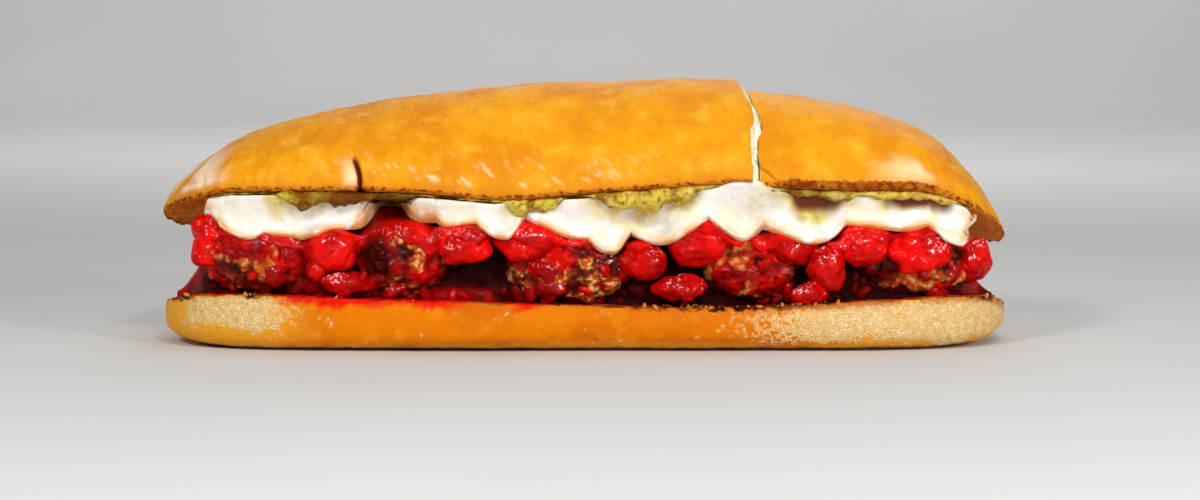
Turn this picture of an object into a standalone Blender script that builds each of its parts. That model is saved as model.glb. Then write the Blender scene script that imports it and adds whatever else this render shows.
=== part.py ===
"""A meatball submarine sandwich: a long glossy roll cut right through, five meatballs in tomato sauce
along each side, melted mozzarella that hangs over them in lobes, and a herb spread under the top half.

The sandwich lies along X with its shown side towards -Y and rests on the flat of the bottom half.
All sizes are in metres, +Z is up, and the origin is under the middle of the roll.
"""
import math

import bmesh
import bpy
from mathutils import Vector, noise

# The whole roll
HALF_LENGTH = 0.135
HALF_WIDTH = 0.0385
TOTAL_HEIGHT = 0.0833
GAP = 0.0003

# Bottom half of the roll
BELLY_HEIGHT = 0.0095
BELLY_BULGE = 1.10
SIDE_LEAN = 0.0012
CUT_LOW = 0.0138
CUT_LOW_X = 0.040
CUT_RISE_LEFT = 0.0054
CUT_RISE_RIGHT = 0.0058
CUT_FALL_BACK = 0.0036
BOTTOM_STATIONS = 42
BOTTOM_SIDE_STEPS = 6
BOTTOM_CUT_STEPS = 8

# Top half of the roll, propped open towards the front
LID_CENTRE = 0.0432
LID_TILT = math.radians(11.5)
LID_END_TWIST = math.radians(3.0)
LID_LEAN_BACK = 0.0055
LIP = 0.0007
LIP_INSET = 0.965
LEFT_DROOP = 0.0030
LEFT_DROOP_START = 0.108
RIGHT_DROOP = 0.0105
RIGHT_DROOP_START = 0.102
APEX_X = 0.042
EDGE_DIP = (-0.024, 0.022, 0.0026)
EDGE_RISE = (0.048, 0.026, 0.0026)
LID_STATIONS_LEFT = 27
LID_STATIONS_RIGHT = 14
LID_DOME_STEPS = 15
LID_CUT_STEPS = 6

# The slash that runs across the top half, and the small crack at its front edge
SLASH_X = 0.0515
SLASH_SKEW = 0.11
SLASH_BEVEL = 0.0026
SLASH_GAP = 0.0005
SLASH_STEP = 0.0024
SLASH_EDGE_DROP = 0.0012
SLASH_EDGE_REACH = 0.050
SLASH_SHRINK = 0.0011
SHORT_PART_SHRINK = 0.0004
CRACK_X = -0.0705
CRACK_HEIGHT = 0.011
CRACK_WIDTH = 0.0016
CRACK_DEPTH = 0.0030

# Meatballs: places along and across the roll, half length, half depth, half height
FRONT_BALLS = (
    (-0.1015, -0.0190, 0.0190, 0.0160, 0.0133),
    (-0.0570, -0.0185, 0.0162, 0.0160, 0.0146),
    (-0.0060, -0.0185, 0.0215, 0.0170, 0.0134),
    (0.0530, -0.0185, 0.0172, 0.0165, 0.0137),
    (0.1020, -0.0168, 0.0215, 0.0150, 0.0128),
)
BACK_BALLS = (
    (-0.1000, 0.0190, 0.0172, 0.0150, 0.0108),
    (-0.0585, 0.0195, 0.0180, 0.0155, 0.0112),
    (-0.0150, 0.0195, 0.0188, 0.0150, 0.0106),
    (0.0330, 0.0195, 0.0182, 0.0155, 0.0108),
    (0.0860, 0.0190, 0.0210, 0.0155, 0.0110),
)
BALL_RELIEF = 0.0011
BALL_FLAT = 0.90
BALL_HEADROOM = 0.0058

# Tomato pieces on the shown side: place along the roll, height of the middle, length, height
FRONT_TOMATOES = (
    (-0.1150, 0.0312, 0.0160, 0.0136),
    (-0.1180, 0.0390, 0.0090, 0.0080),
    (-0.0780, 0.0312, 0.0155, 0.0125),
    (-0.0740, 0.0215, 0.0165, 0.0072),
    (-0.0370, 0.0335, 0.0170, 0.0135),
    (-0.0180, 0.0345, 0.0200, 0.0134),
    (0.0190, 0.0277, 0.0135, 0.0128),
    (0.0345, 0.0338, 0.0190, 0.0136),
    (0.0290, 0.0198, 0.0180, 0.0082),
    (0.0655, 0.0328, 0.0130, 0.0122),
    (0.0755, 0.0262, 0.0112, 0.0132),
    (0.0700, 0.0175, 0.0112, 0.0060),
    (0.0870, 0.0328, 0.0160, 0.0126),
    (0.1040, 0.0304, 0.0215, 0.0150),
    (0.1215, 0.0272, 0.0140, 0.0130),
)
BACK_TOMATOES = (
    (-0.1190, 0.0262, 0.0140, 0.0112),
    (-0.0790, 0.0292, 0.0165, 0.0122),
    (-0.0810, 0.0185, 0.0125, 0.0066),
    (-0.0370, 0.0275, 0.0160, 0.0120),
    (0.0090, 0.0282, 0.0175, 0.0118),
    (0.0100, 0.0170, 0.0145, 0.0064),
    (0.0590, 0.0270, 0.0175, 0.0125),
    (0.0620, 0.0165, 0.0120, 0.0060),
    (0.1120, 0.0252, 0.0150, 0.0116),
)
TOMATO_DEPTH = 0.0110
TOMATO_FACE_Y = 0.0378
TOMATO_RELIEF = 0.0007

# Sauce bed between the meatballs
SAUCE_HALF_LENGTH = 0.131
SAUCE_HALF_WIDTH = 0.0262
SAUCE_UNDER_LID = 0.0092
SAUCE_END_SLOPE = 0.016
SAUCE_STATIONS = 24
SAUCE_LOOP = 11
POCKET_SCALE = 1.075
POCKET_MARGIN = 0.0012

# Mozzarella: each lobe of the shown side as place along the roll, half width, lowest height
FRONT_LOBES = (
    (-0.1055, 0.0105, 0.0362),
    (-0.0850, 0.0190, 0.0380),
    (-0.0510, 0.0075, 0.0455),
    (-0.0390, 0.0080, 0.0405),
    (-0.0245, 0.0075, 0.0368),
    (-0.0040, 0.0140, 0.0385),
    (0.0085, 0.0075, 0.0318),
    (0.0250, 0.0120, 0.0345),
    (0.0470, 0.0095, 0.0362),
    (0.0690, 0.0130, 0.0345),
    (0.0980, 0.0210, 0.0392),
    (0.1150, 0.0070, 0.0325),
)
CHEESE_THICKNESS = 0.0026
CHEESE_LEFT = -0.1190
CHEESE_RIGHT = 0.1220
CHEESE_STATIONS = 41
CHEESE_STEPS = 9
CHEESE_AXIS_Z = 0.0200
CHEESE_REST_Z = 0.0455
CHEESE_CLEAR = 0.0007
BACK_LOBE_COUNT = 8
BACK_LOBE_Z = 0.0245
BACK_REST_Z = 0.0325

# Herb spread under the top half, and the stretches where it is squeezed out at the front
SPREAD_THICKNESS = 0.0011
SPREAD_STATIONS = 27
SPREAD_STEPS = 4
SPREAD_OUT = ((-0.083, 0.012), (-0.022, 0.010), (0.018, 0.020), (0.082, 0.034))
SPREAD_OUT_Y = 0.0385
SPREAD_IN_Y = 0.0335
SPREAD_BACK_Y = 0.034


def clear_scene():
    for scene_object in list(bpy.data.objects):
        bpy.data.objects.remove(scene_object, do_unlink=True)


def finish(name, colour, roughness):
    material = bpy.data.materials.new(name)
    material.use_nodes = True
    shader = material.node_tree.nodes["Principled BSDF"]
    shader.inputs["Base Color"].default_value = (*colour, 1.0)
    shader.inputs["Roughness"].default_value = roughness
    shader.inputs["Metallic"].default_value = 0.0
    return material


def add_object(name, bm, material):
    """Close the mesh into triangles that face out, and link it as one object."""
    bmesh.ops.recalc_face_normals(bm, faces=bm.faces)
    bmesh.ops.triangulate(bm, faces=bm.faces)
    if bm.calc_volume(signed=True) < 0.0:
        bmesh.ops.reverse_faces(bm, faces=bm.faces)
    mesh = bpy.data.meshes.new(name)
    bm.to_mesh(mesh)
    bm.free()
    mesh.shade_smooth()
    mesh.materials.append(material)
    made = bpy.data.objects.new(name, mesh)
    bpy.context.scene.collection.objects.link(made)
    return made


def ease(value):
    """A smooth step from 0 to 1."""
    value = min(max(value, 0.0), 1.0)
    return value * value * (3.0 - 2.0 * value)


def bump(x, place, reach):
    return math.exp(-((x - place) / reach) ** 2)


def spread_stations(start, end, count, crowding=0.86):
    """Places along X from one end to the other, crowded towards the rounded tips of the roll."""
    places = []
    for index in range(count + 1):
        x = start + (end - start) * index / count
        side = x / HALF_LENGTH
        crowded = (1.0 - crowding) * side + crowding * math.sin(side * math.pi / 2)
        places.append(crowded * HALF_LENGTH)
    return places


def plan_half_width(x):
    """Half width of the roll seen from above: long straight sides and rounded tips."""
    along = min(abs(x) / HALF_LENGTH, 1.0)
    return HALF_WIDTH * (1.0 - along ** 6.0) ** (1.0 / 2.1)


def bottom_cut(x, y):
    """Height of the cut face of the bottom half: low in the middle, curled up at both ends."""
    if x < CUT_LOW_X:
        rise = CUT_RISE_LEFT * ((CUT_LOW_X - x) / (CUT_LOW_X + HALF_LENGTH)) ** 1.3
    else:
        rise = CUT_RISE_RIGHT * ((x - CUT_LOW_X) / (HALF_LENGTH - CUT_LOW_X)) ** 1.5
    back = (y + HALF_WIDTH) / (2.0 * HALF_WIDTH)
    return CUT_LOW + rise - CUT_FALL_BACK * back


def lid_centre(x):
    """Height of the top half's cut face along its middle: the ends droop, the right one most."""
    left_share = ease((-x - LEFT_DROOP_START) / (HALF_LENGTH - LEFT_DROOP_START))
    right_share = max((x - RIGHT_DROOP_START) / (HALF_LENGTH - RIGHT_DROOP_START), 0.0) ** 1.7
    return LID_CENTRE - LEFT_DROOP * left_share - RIGHT_DROOP * right_share


def lid_cut(x, y):
    """Height of the top half's cut face, which rises towards the front edge."""
    tilt = LID_TILT + LID_END_TWIST * abs(x / HALF_LENGTH) ** 4
    edge = ease(-y / HALF_WIDTH)
    wave = EDGE_RISE[2] * bump(x, *EDGE_RISE[:2]) - EDGE_DIP[2] * bump(x, *EDGE_DIP[:2])
    if x > SLASH_X:
        wave -= SLASH_EDGE_DROP * (1.0 - ease((x - SLASH_X) / SLASH_EDGE_REACH))
    return lid_centre(x) - y * math.tan(tilt) + wave * edge


def lid_under(x, y):
    """The cut face with its lip, which turns down a little round the rim."""
    share = abs(y) / max(plan_half_width(x), 0.001)
    return lid_cut(x, y) - LIP * min(share, 1.0) ** 8


def ceiling(x, y):
    """Lowest height of the cut face close to a place, for what lies under it."""
    heights = [lid_under(x + shift, y) for shift in (-0.006, -0.003, 0.0, 0.003, 0.006)]
    return min(heights)


def dome_height(x):
    """Height of the crust's ridge above the middle of the cut face."""
    if x <= SLASH_X:
        along = min((APEX_X - x) / (APEX_X + HALF_LENGTH), 1.0)
        ridge = (1.0 - max(along, 0.0) ** 2.45) ** 0.5
        return (TOTAL_HEIGHT - LID_CENTRE) * ridge
    along = min((x - APEX_X) / (HALF_LENGTH - APEX_X), 1.0)
    ridge = (1.0 - along ** 2.0) ** (1.0 / 1.75)
    return (TOTAL_HEIGHT - LID_CENTRE - SLASH_STEP) * ridge


def swell(x, angle, strength):
    """Slow unevenness of the crust."""
    spot = Vector((x * 28.0, math.cos(angle) * 1.3, math.sin(angle) * 1.3))
    return strength * noise.noise(spot)


def slash_skew(x, y):
    """How far a point near the slash moves so that the slash runs slantwise over the roll."""
    return -SLASH_SKEW * y * bump(x, SLASH_X, 0.030)


def loft(loops, start_tip=None, end_tip=None):
    """Skin a row of equal loops; an end with a tip runs to that point, another is a flat cap."""
    bm = bmesh.new()
    rows = []
    for loop in loops:
        rows.append([bm.verts.new(point) for point in loop])
    for first, second in zip(rows, rows[1:]):
        for index in range(len(first)):
            after = (index + 1) % len(first)
            bm.faces.new((first[index], first[after], second[after], second[index]))
    for row, tip in ((rows[0], start_tip), (rows[-1], end_tip)):
        if tip is None:
            bm.faces.new(row)
            continue
        point = bm.verts.new(tip)
        for index in range(len(row)):
            bm.faces.new((row[index], row[(index + 1) % len(row)], point))
    return bm


def bottom_loop(x):
    """One cross-section of the bottom half, from the front cut edge over the cut face and round below."""
    width = plan_half_width(x)
    tip = (1.0 - min(abs(x) / HALF_LENGTH, 1.0) ** 9) ** (1.0 / 2.6)
    loop = []
    for step in range(BOTTOM_CUT_STEPS + 1):
        y = (width - SIDE_LEAN * tip) * (2.0 * step / BOTTOM_CUT_STEPS - 1.0)
        top = BELLY_HEIGHT + (bottom_cut(x, y) - BELLY_HEIGHT) * tip
        loop.append(Vector((x, y, top)))
    for step in range(2 * BOTTOM_SIDE_STEPS + 1):
        turn = math.pi * step / (2 * BOTTOM_SIDE_STEPS)
        across = math.copysign(abs(math.cos(turn)) ** (2.0 / 4.2), math.cos(turn))
        down = math.sin(turn) ** (2.0 / 3.4) * BELLY_BULGE
        uneven = 1.0 + swell(x, turn, 0.03)
        y = width * across * uneven
        z = BELLY_HEIGHT * (1.0 - min(down, 1.0) * min(tip * 1.05, 1.0))
        loop.append(Vector((x, y, z)))
    return loop


def make_bottom_bun(material):
    places = spread_stations(-HALF_LENGTH, HALF_LENGTH, BOTTOM_STATIONS)
    loops = [bottom_loop(x) for x in places[1:-1]]
    tips = [Vector((x, 0.0, BELLY_HEIGHT)) for x in (-HALF_LENGTH, HALF_LENGTH)]
    return add_object("bottom_bun", loft(loops, *tips), material)


def lid_loop(x, shrink=0.0):
    """One cross-section of the top half: the domed crust from back to front, then the cut face."""
    width = plan_half_width(x) - shrink * 0.8
    height = dome_height(x) - shrink
    lean = LID_LEAN_BACK * height / TOTAL_HEIGHT * 2.0
    loop = []
    for step in range(LID_DOME_STEPS + 1):
        turn = math.pi * step / LID_DOME_STEPS
        across = math.copysign(abs(math.cos(turn)) ** (2.0 / 2.15), math.cos(turn))
        up = math.sin(turn) ** (2.0 / 2.1)
        uneven = 1.0 + swell(x, turn, 0.035) * up
        y = width * across + lean * up
        z = lid_cut(x, width * across) * (1.0 - up) + lid_centre(x) * up + height * up * uneven
        loop.append(Vector((x + slash_skew(x, y), y, z)))
    inner = width * LIP_INSET
    for step in range(LID_CUT_STEPS + 1):
        y = inner * (2.0 * step / LID_CUT_STEPS - 1.0)
        loop.append(Vector((x + slash_skew(x, y), y, lid_under(x, y))))
    return loop


def make_top_bun_left(material):
    """The long part of the top half, with the pale crumb of the slash as its bevelled right end."""
    places = spread_stations(-HALF_LENGTH, SLASH_X * 0.80, LID_STATIONS_LEFT)
    places = [x for x in places[1:] if x < SLASH_X - 2.2 * SLASH_BEVEL]
    loops = [lid_loop(x) for x in places]
    loops.append(lid_loop(SLASH_X - SLASH_BEVEL))
    loops.append(lid_loop(SLASH_X - 0.35 * SLASH_BEVEL, 0.55 * SLASH_STEP))
    loops.append(lid_loop(SLASH_X, 1.3 * SLASH_STEP))
    tip = Vector((-HALF_LENGTH, 0.0, lid_centre(-HALF_LENGTH)))
    return add_object("top_bun_left", loft(loops, tip), material)


def make_top_bun_right(material):
    """The short part of the top half, a little lower than the long part."""
    start = SLASH_X + SLASH_GAP
    places = spread_stations(start, HALF_LENGTH, LID_STATIONS_RIGHT)
    loops = [lid_loop(start, SLASH_SHRINK)]
    loops += [lid_loop(x, SHORT_PART_SHRINK) for x in places[1:-1] if x > start + 0.003]
    tip = Vector((HALF_LENGTH, 0.0, lid_centre(HALF_LENGTH)))
    return add_object("top_bun_right", loft(loops, None, tip), material)


def make_crack_cutter():
    """A thin wedge that opens downwards at the front edge of the long part."""
    bm = bmesh.new()
    edge_y = -plan_half_width(CRACK_X)
    base = lid_cut(CRACK_X, edge_y) - 0.002
    rows = []
    for y in (edge_y - 0.006, edge_y + CRACK_DEPTH):
        rows.append([
            bm.verts.new((CRACK_X - CRACK_WIDTH, y, base)),
            bm.verts.new((CRACK_X + CRACK_WIDTH, y, base)),
            bm.verts.new((CRACK_X - 1.4 * CRACK_WIDTH, y, base + CRACK_HEIGHT)),
        ])
    bm.faces.new(rows[0])
    bm.faces.new(rows[1])
    for index in range(3):
        after = (index + 1) % 3
        bm.faces.new((rows[0][index], rows[0][after], rows[1][after], rows[1][index]))
    cutter = add_object("crack_cutter", bm, finish("cutter", (0.5, 0.5, 0.5), 0.5))
    cutter.hide_render = True
    cutter.display_type = "WIRE"
    return cutter


def lump(centre, radii, subdivisions, relief, seed, detail=1.5):
    """An uneven rounded lump: a ball with bumps of the given height, scaled to its radii."""
    bm = bmesh.new()
    bmesh.ops.create_icosphere(bm, subdivisions=subdivisions, radius=1.0)
    mean = sum(radii) / 3.0
    for vertex in bm.verts:
        spot = vertex.co * detail + Vector((seed * 3.7, seed * 1.3, seed * 2.1))
        bumps = noise.noise(spot) + 0.5 * noise.noise(spot * 2.3)
        push = 1.0 + relief / mean * min(max(bumps * 1.4, -1.0), 1.0)
        scaled = [axis * radius * push for axis, radius in zip(vertex.co, radii)]
        vertex.co = Vector(centre) + Vector(scaled)
    return bm


def press_flat(bm, lowest):
    """Keep a lump clear above what it lies on, which flattens its underside."""
    for vertex in bm.verts:
        vertex.co.z = max(vertex.co.z, lowest(vertex.co.x, vertex.co.y))


def above_bottom(x, y):
    return bottom_cut(x, y) + 1.5 * GAP


def ball_places():
    """Centre and radii of every meatball, front row first, each resting on the bottom half."""
    places = []
    for x, across, half_length, half_depth, half_height in FRONT_BALLS + BACK_BALLS:
        y = across * plan_half_width(x) / HALF_WIDTH
        room = ceiling(x, y) - bottom_cut(x, y) - BALL_HEADROOM
        squeezed = min(half_height, room / (1.0 + BALL_FLAT))
        z = bottom_cut(x, y) + GAP + squeezed * BALL_FLAT
        places.append(((x, y, z), (half_length, half_depth, squeezed)))
    return places


def tomato_places():
    """Centre and radii of every tomato piece, following the rounded plan of the roll."""
    places = []
    for side, row in ((-1.0, FRONT_TOMATOES), (1.0, BACK_TOMATOES)):
        for x, z, length, height in row:
            face = TOMATO_FACE_Y * plan_half_width(x) / HALF_WIDTH
            depth = TOMATO_DEPTH * (0.8 + 0.2 * height / 0.013)
            y = side * (face - depth / 2)
            highest = ceiling(x, y) - BALL_HEADROOM - height / 2
            places.append(((x, y, min(z, highest)), (length / 2, depth / 2, height / 2)))
    return places


def keep_largest(bm):
    """Drop loose scraps that a cut leaves behind."""
    left = set(bm.verts)
    groups = []
    while left:
        stack = [left.pop()]
        group = set(stack)
        while stack:
            vertex = stack.pop()
            for edge in vertex.link_edges:
                other = edge.other_vert(vertex)
                if other in left:
                    left.remove(other)
                    group.add(other)
                    stack.append(other)
        groups.append(group)
    groups.sort(key=len)
    for group in groups[:-1]:
        bmesh.ops.delete(bm, geom=list(group), context="VERTS")


def carve(target, cutters, solver="EXACT"):
    """Cut the target by closed cutters, keep its main body and fix the result in its mesh."""
    for cutter in cutters:
        cut = target.modifiers.new("cut", "BOOLEAN")
        cut.operation = "DIFFERENCE"
        cut.solver = solver
        cut.object = cutter
    graph = bpy.context.evaluated_depsgraph_get()
    graph.update()
    result = bpy.data.meshes.new_from_object(target.evaluated_get(graph))
    target.modifiers.clear()
    bm = bmesh.new()
    bm.from_mesh(result)
    bmesh.ops.remove_doubles(bm, verts=bm.verts, dist=0.00001)
    keep_largest(bm)
    bmesh.ops.triangulate(bm, faces=bm.faces)
    bm.to_mesh(target.data)
    bm.free()
    target.data.shade_smooth()


def make_cutter(place, grow, subdivisions, seed, relief):
    """A slightly larger copy of a lump, used to cut its neighbours."""
    centre, radii = place
    larger = [radius * grow[0] + grow[1] for radius in radii]
    bm = lump(centre, larger, subdivisions, relief, seed)
    return add_object("pocket_cutter", bm, bpy.data.materials["cutter"])


def remove_objects(objects):
    for scene_object in objects:
        bpy.data.objects.remove(scene_object, do_unlink=True)


def near(first, second):
    """Whether two lumps, given as centre and radii, can touch."""
    reach = Vector(first[1]) + Vector(second[1])
    apart = Vector(first[0]) - Vector(second[0])
    return sum((axis / span) ** 2 for axis, span in zip(apart, reach)) < 1.15


def make_meatballs(material):
    made = []
    for index, (centre, radii) in enumerate(ball_places()):
        bm = lump(centre, radii, 3, BALL_RELIEF, index + 1)
        press_flat(bm, above_bottom)
        row = "front" if index < len(FRONT_BALLS) else "back"
        number = index % len(FRONT_BALLS) + 1
        made.append(add_object(f"meatball_{row}_{number}", bm, material))
    return made


def make_tomatoes(material):
    """Tomato pieces that lie against the meatballs, each cut clear of what it touches."""
    balls = ball_places()
    pieces = tomato_places()
    for index, place in enumerate(pieces):
        bm = lump(*place, 2, TOMATO_RELIEF, index + 21)
        press_flat(bm, above_bottom)
        row = "front" if index < len(FRONT_TOMATOES) else "back"
        number = index + 1 if row == "front" else index + 1 - len(FRONT_TOMATOES)
        made = add_object(f"tomato_{row}_{number}", bm, material)
        cutters = []
        for other, ball in enumerate(balls):
            if near(place, ball):
                cutters.append(make_cutter(ball, (1.0, 1.5 * GAP), 3, other + 1, BALL_RELIEF))
        for other, earlier in enumerate(pieces[:index]):
            if near(place, earlier):
                cutters.append(make_cutter(earlier, (1.0, 1.5 * GAP), 2, other + 21, TOMATO_RELIEF))
        if cutters:
            carve(made, cutters)
            remove_objects(cutters)


def sauce_width(x):
    """Half width of the sauce bed, which stays behind the tomato pieces."""
    return SAUCE_HALF_WIDTH * plan_half_width(x) / HALF_WIDTH


def sauce_loop(x):
    """One cross-section of the sauce bed, flat below and rounded above, sloping off at the ends."""
    end = ease((SAUCE_HALF_LENGTH - abs(x)) / SAUCE_END_SLOPE)
    width = sauce_width(x) * (0.35 + 0.65 * end)
    loop = []
    for step in range(SAUCE_LOOP + 1):
        turn = math.pi * step / SAUCE_LOOP
        across = math.copysign(abs(math.cos(turn)) ** 0.45, math.cos(turn))
        y = width * across
        low = bottom_cut(x, y) + 1.5 * GAP
        high = lid_cut(x, y) - SAUCE_UNDER_LID
        z = low + (high - low) * (0.10 + 0.90 * end) * math.sin(turn) ** 0.45
        loop.append(Vector((x, y, z)))
    return loop[:-1] + [Vector((x, -width, bottom_cut(x, -width) + 1.5 * GAP))]


def make_sauce(material):
    """The sauce that fills the roll round the meatballs, in one body."""
    count = SAUCE_STATIONS
    places = [SAUCE_HALF_LENGTH * (2.0 * index / count - 1.0) for index in range(count + 1)]
    bm = loft([sauce_loop(x) for x in places])
    made = add_object("sauce_bed", bm, material)
    cutters = []
    for index, ball in enumerate(ball_places()):
        cutters.append(make_cutter(ball, (POCKET_SCALE, POCKET_MARGIN), 2, index + 1, 0.0))
    for index, (centre, radii) in enumerate(tomato_places()):
        if abs(centre[1]) - radii[1] - POCKET_MARGIN < sauce_width(centre[0]):
            piece = (centre, radii)
            cutters.append(make_cutter(piece, (POCKET_SCALE, POCKET_MARGIN), 1, index + 21, 0.0))
    carve(made, cutters, "MANIFOLD")
    remove_objects(cutters)


def lump_reach(place, x, out, up):
    """How far from the draping axis the lump reaches in the direction (out, up) at X, or zero."""
    centre, radii = place
    margin = 0.0008
    half = [radius + margin for radius in radii]
    slice_share = 1.0 - ((x - centre[0]) / half[0]) ** 2
    if slice_share <= 0.0:
        return 0.0
    a = (out / half[1]) ** 2 + (up / half[2]) ** 2
    offset_y = -centre[1]
    offset_z = CHEESE_AXIS_Z - centre[2]
    b = 2.0 * (out * offset_y / half[1] ** 2 + up * offset_z / half[2] ** 2)
    c = (offset_y / half[1]) ** 2 + (offset_z / half[2]) ** 2 - slice_share
    inside = b * b - 4.0 * a * c
    if inside <= 0.0:
        return 0.0
    return max((-b + math.sqrt(inside)) / (2.0 * a), 0.0)


def sauce_reach(x, out, up):
    """How far the sauce bed reaches from the draping axis."""
    width = sauce_width(x)
    side = width / max(abs(out), 0.0001)
    slope = -math.tan(LID_TILT)
    top = (LID_CENTRE - SAUCE_UNDER_LID - CHEESE_AXIS_Z) / max(up - slope * out, 0.05)
    return min(side, top)


def drape_reach(lumps, x, angle, spread_x, spread_angle):
    """Largest reach of everything under the cheese near this place, so that no lump pokes through."""
    reach = 0.0
    for shift_x in (-spread_x, -spread_x / 2, 0.0, spread_x / 2, spread_x):
        for shift_angle in (-spread_angle, -spread_angle / 2, 0.0, spread_angle / 2, spread_angle):
            out = -math.sin(angle + shift_angle)
            up = math.cos(angle + shift_angle)
            for place in lumps:
                if abs(x + shift_x - place[0][0]) < place[1][0] + 0.001:
                    reach = max(reach, lump_reach(place, x + shift_x, out, up))
            reach = max(reach, sauce_reach(x + shift_x, out, up))
    return reach


def lid_reach(x, angle):
    """How far it is from the draping axis to the underside of the top half, less the spread."""
    out = -math.sin(angle)
    up = math.cos(angle)
    reach = 0.0
    for step in range(1, 60):
        trial = 0.001 * step
        y = out * trial
        if abs(y) > HALF_WIDTH + 0.002:
            return 0.060
        highest = ceiling(x, y) - SPREAD_THICKNESS - 3.0 * GAP
        if CHEESE_AXIS_Z + up * trial > highest:
            return reach
        reach = trial
    return reach


def lobe_bottom(x, lobes, rest):
    """Lowest height of the cheese edge at this place along the roll."""
    lowest = rest
    for place, half_width, height in lobes:
        along = abs(x - place) / half_width
        if along < 1.0:
            drop = (rest - height) * (1.0 - along ** 2.4) ** 0.6
            lowest = min(lowest, rest - drop)
    return lowest


def back_lobes():
    lobes = []
    for index in range(BACK_LOBE_COUNT):
        share = (index + 0.5) / BACK_LOBE_COUNT
        place = CHEESE_LEFT + (CHEESE_RIGHT - CHEESE_LEFT) * share + 0.004 * math.sin(3.1 * index)
        height = BACK_LOBE_Z + 0.0035 * math.sin(2.3 * index)
        lobes.append((place, 0.013 + 0.003 * math.sin(1.7 * index), height))
    return lobes


def cheese_angles(x):
    """Angles from straight up to the front edge and the back edge of the cheese."""
    width = plan_half_width(x)
    front = lobe_bottom(x, FRONT_LOBES, CHEESE_REST_Z)
    back = lobe_bottom(x, back_lobes(), BACK_REST_Z)
    front_angle = math.atan2(width, front - CHEESE_AXIS_Z)
    back_angle = math.atan2(width - 0.001, back - CHEESE_AXIS_Z)
    return front_angle, -back_angle


def make_mozzarella(material):
    """Melted slices in one layer, laid over the filling and hanging down both sides in lobes."""
    lumps = ball_places() + tomato_places()
    spacing = (CHEESE_RIGHT - CHEESE_LEFT) / CHEESE_STATIONS
    loops = []
    for index in range(CHEESE_STATIONS + 1):
        x = CHEESE_LEFT + spacing * index
        end = min(index, CHEESE_STATIONS - index) / 2.0
        front, back = cheese_angles(x)
        step_angle = (front - back) / CHEESE_STEPS
        under = []
        over = []
        for step in range(CHEESE_STEPS + 1):
            angle = front - step_angle * step
            inner = drape_reach(lumps, x, angle, spacing * 0.6, abs(step_angle) * 0.6) + CHEESE_CLEAR
            thickness = CHEESE_THICKNESS * (0.45 + 0.55 * min(end, 1.0))
            if step in (0, CHEESE_STEPS):
                thickness *= 0.5
            outer = min(inner + thickness, lid_reach(x, angle))
            if outer - inner < 0.0006:
                inner = outer - 0.0006
            out = -math.sin(angle)
            up = math.cos(angle)
            under.append(Vector((x, out * inner, CHEESE_AXIS_Z + up * inner)))
            over.append(Vector((x, out * outer, CHEESE_AXIS_Z + up * outer)))
        loops.append(under + over[::-1])
    return add_object("mozzarella", loft(loops), material)


def spread_edge(x):
    """How far the herb spread reaches towards the front at this place along the roll."""
    out = 0.0
    for place, reach in SPREAD_OUT:
        out = max(out, ease(1.6 * (1.0 - abs(x - place) / reach)))
    limit = plan_half_width(x) / HALF_WIDTH
    return (SPREAD_IN_Y + (SPREAD_OUT_Y - SPREAD_IN_Y) * out) * limit


def make_herb_spread(material):
    """A thin layer against the cut face of the top half."""
    loops = []
    for index in range(SPREAD_STATIONS + 1):
        x = CHEESE_LEFT + (CHEESE_RIGHT - CHEESE_LEFT) * index / SPREAD_STATIONS
        front = -spread_edge(x)
        back = SPREAD_BACK_Y * plan_half_width(x) / HALF_WIDTH
        over = []
        under = []
        for step in range(SPREAD_STEPS + 1):
            y = front + (back - front) * step / SPREAD_STEPS
            top = ceiling(x, y) - 1.5 * GAP
            thin = 0.55 if step in (0, SPREAD_STEPS) else 1.0
            over.append(Vector((x, y, top)))
            under.append(Vector((x, y, top - SPREAD_THICKNESS * thin)))
        loops.append(over + under[::-1])
    return add_object("herb_spread", loft(loops), material)


def main():
    clear_scene()
    crust = finish("crust", (0.83, 0.38, 0.03), 0.35)
    bottom_crust = finish("bottom_crust", (0.78, 0.24, 0.01), 0.45)
    meat = finish("meat", (0.28, 0.03, 0.01), 0.40)
    tomato = finish("tomato", (0.78, 0.02, 0.01), 0.22)
    sauce = finish("sauce", (0.38, 0.01, 0.005), 0.25)
    cheese = finish("cheese", (0.95, 0.90, 0.76), 0.30)
    herbs = finish("herbs", (0.62, 0.50, 0.09), 0.45)
    make_bottom_bun(bottom_crust)
    top = make_top_bun_left(crust)
    make_top_bun_right(crust)
    crack = make_crack_cutter()
    carve(top, [crack])
    make_meatballs(meat)
    make_tomatoes(tomato)
    make_sauce(sauce)
    make_mozzarella(cheese)
    make_herb_spread(herbs)
    remove_objects([crack])


main()
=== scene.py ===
# %% [markdown]
# # A meatball submarine sandwich
# This lesson dresses a plain solid model of a sandwich: a long glossy roll, meatballs in tomato
# sauce, tomato pieces, melted mozzarella and a herb spread. The solid model fixes every size and
# place. Here each solid is replaced by a fine mesh of the same form with a finish of its own.

# %% Load the solid model
import math
import random

import bmesh
import bpy
import numpy as np
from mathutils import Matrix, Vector, noise
from mathutils.bvhtree import BVHTree


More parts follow.
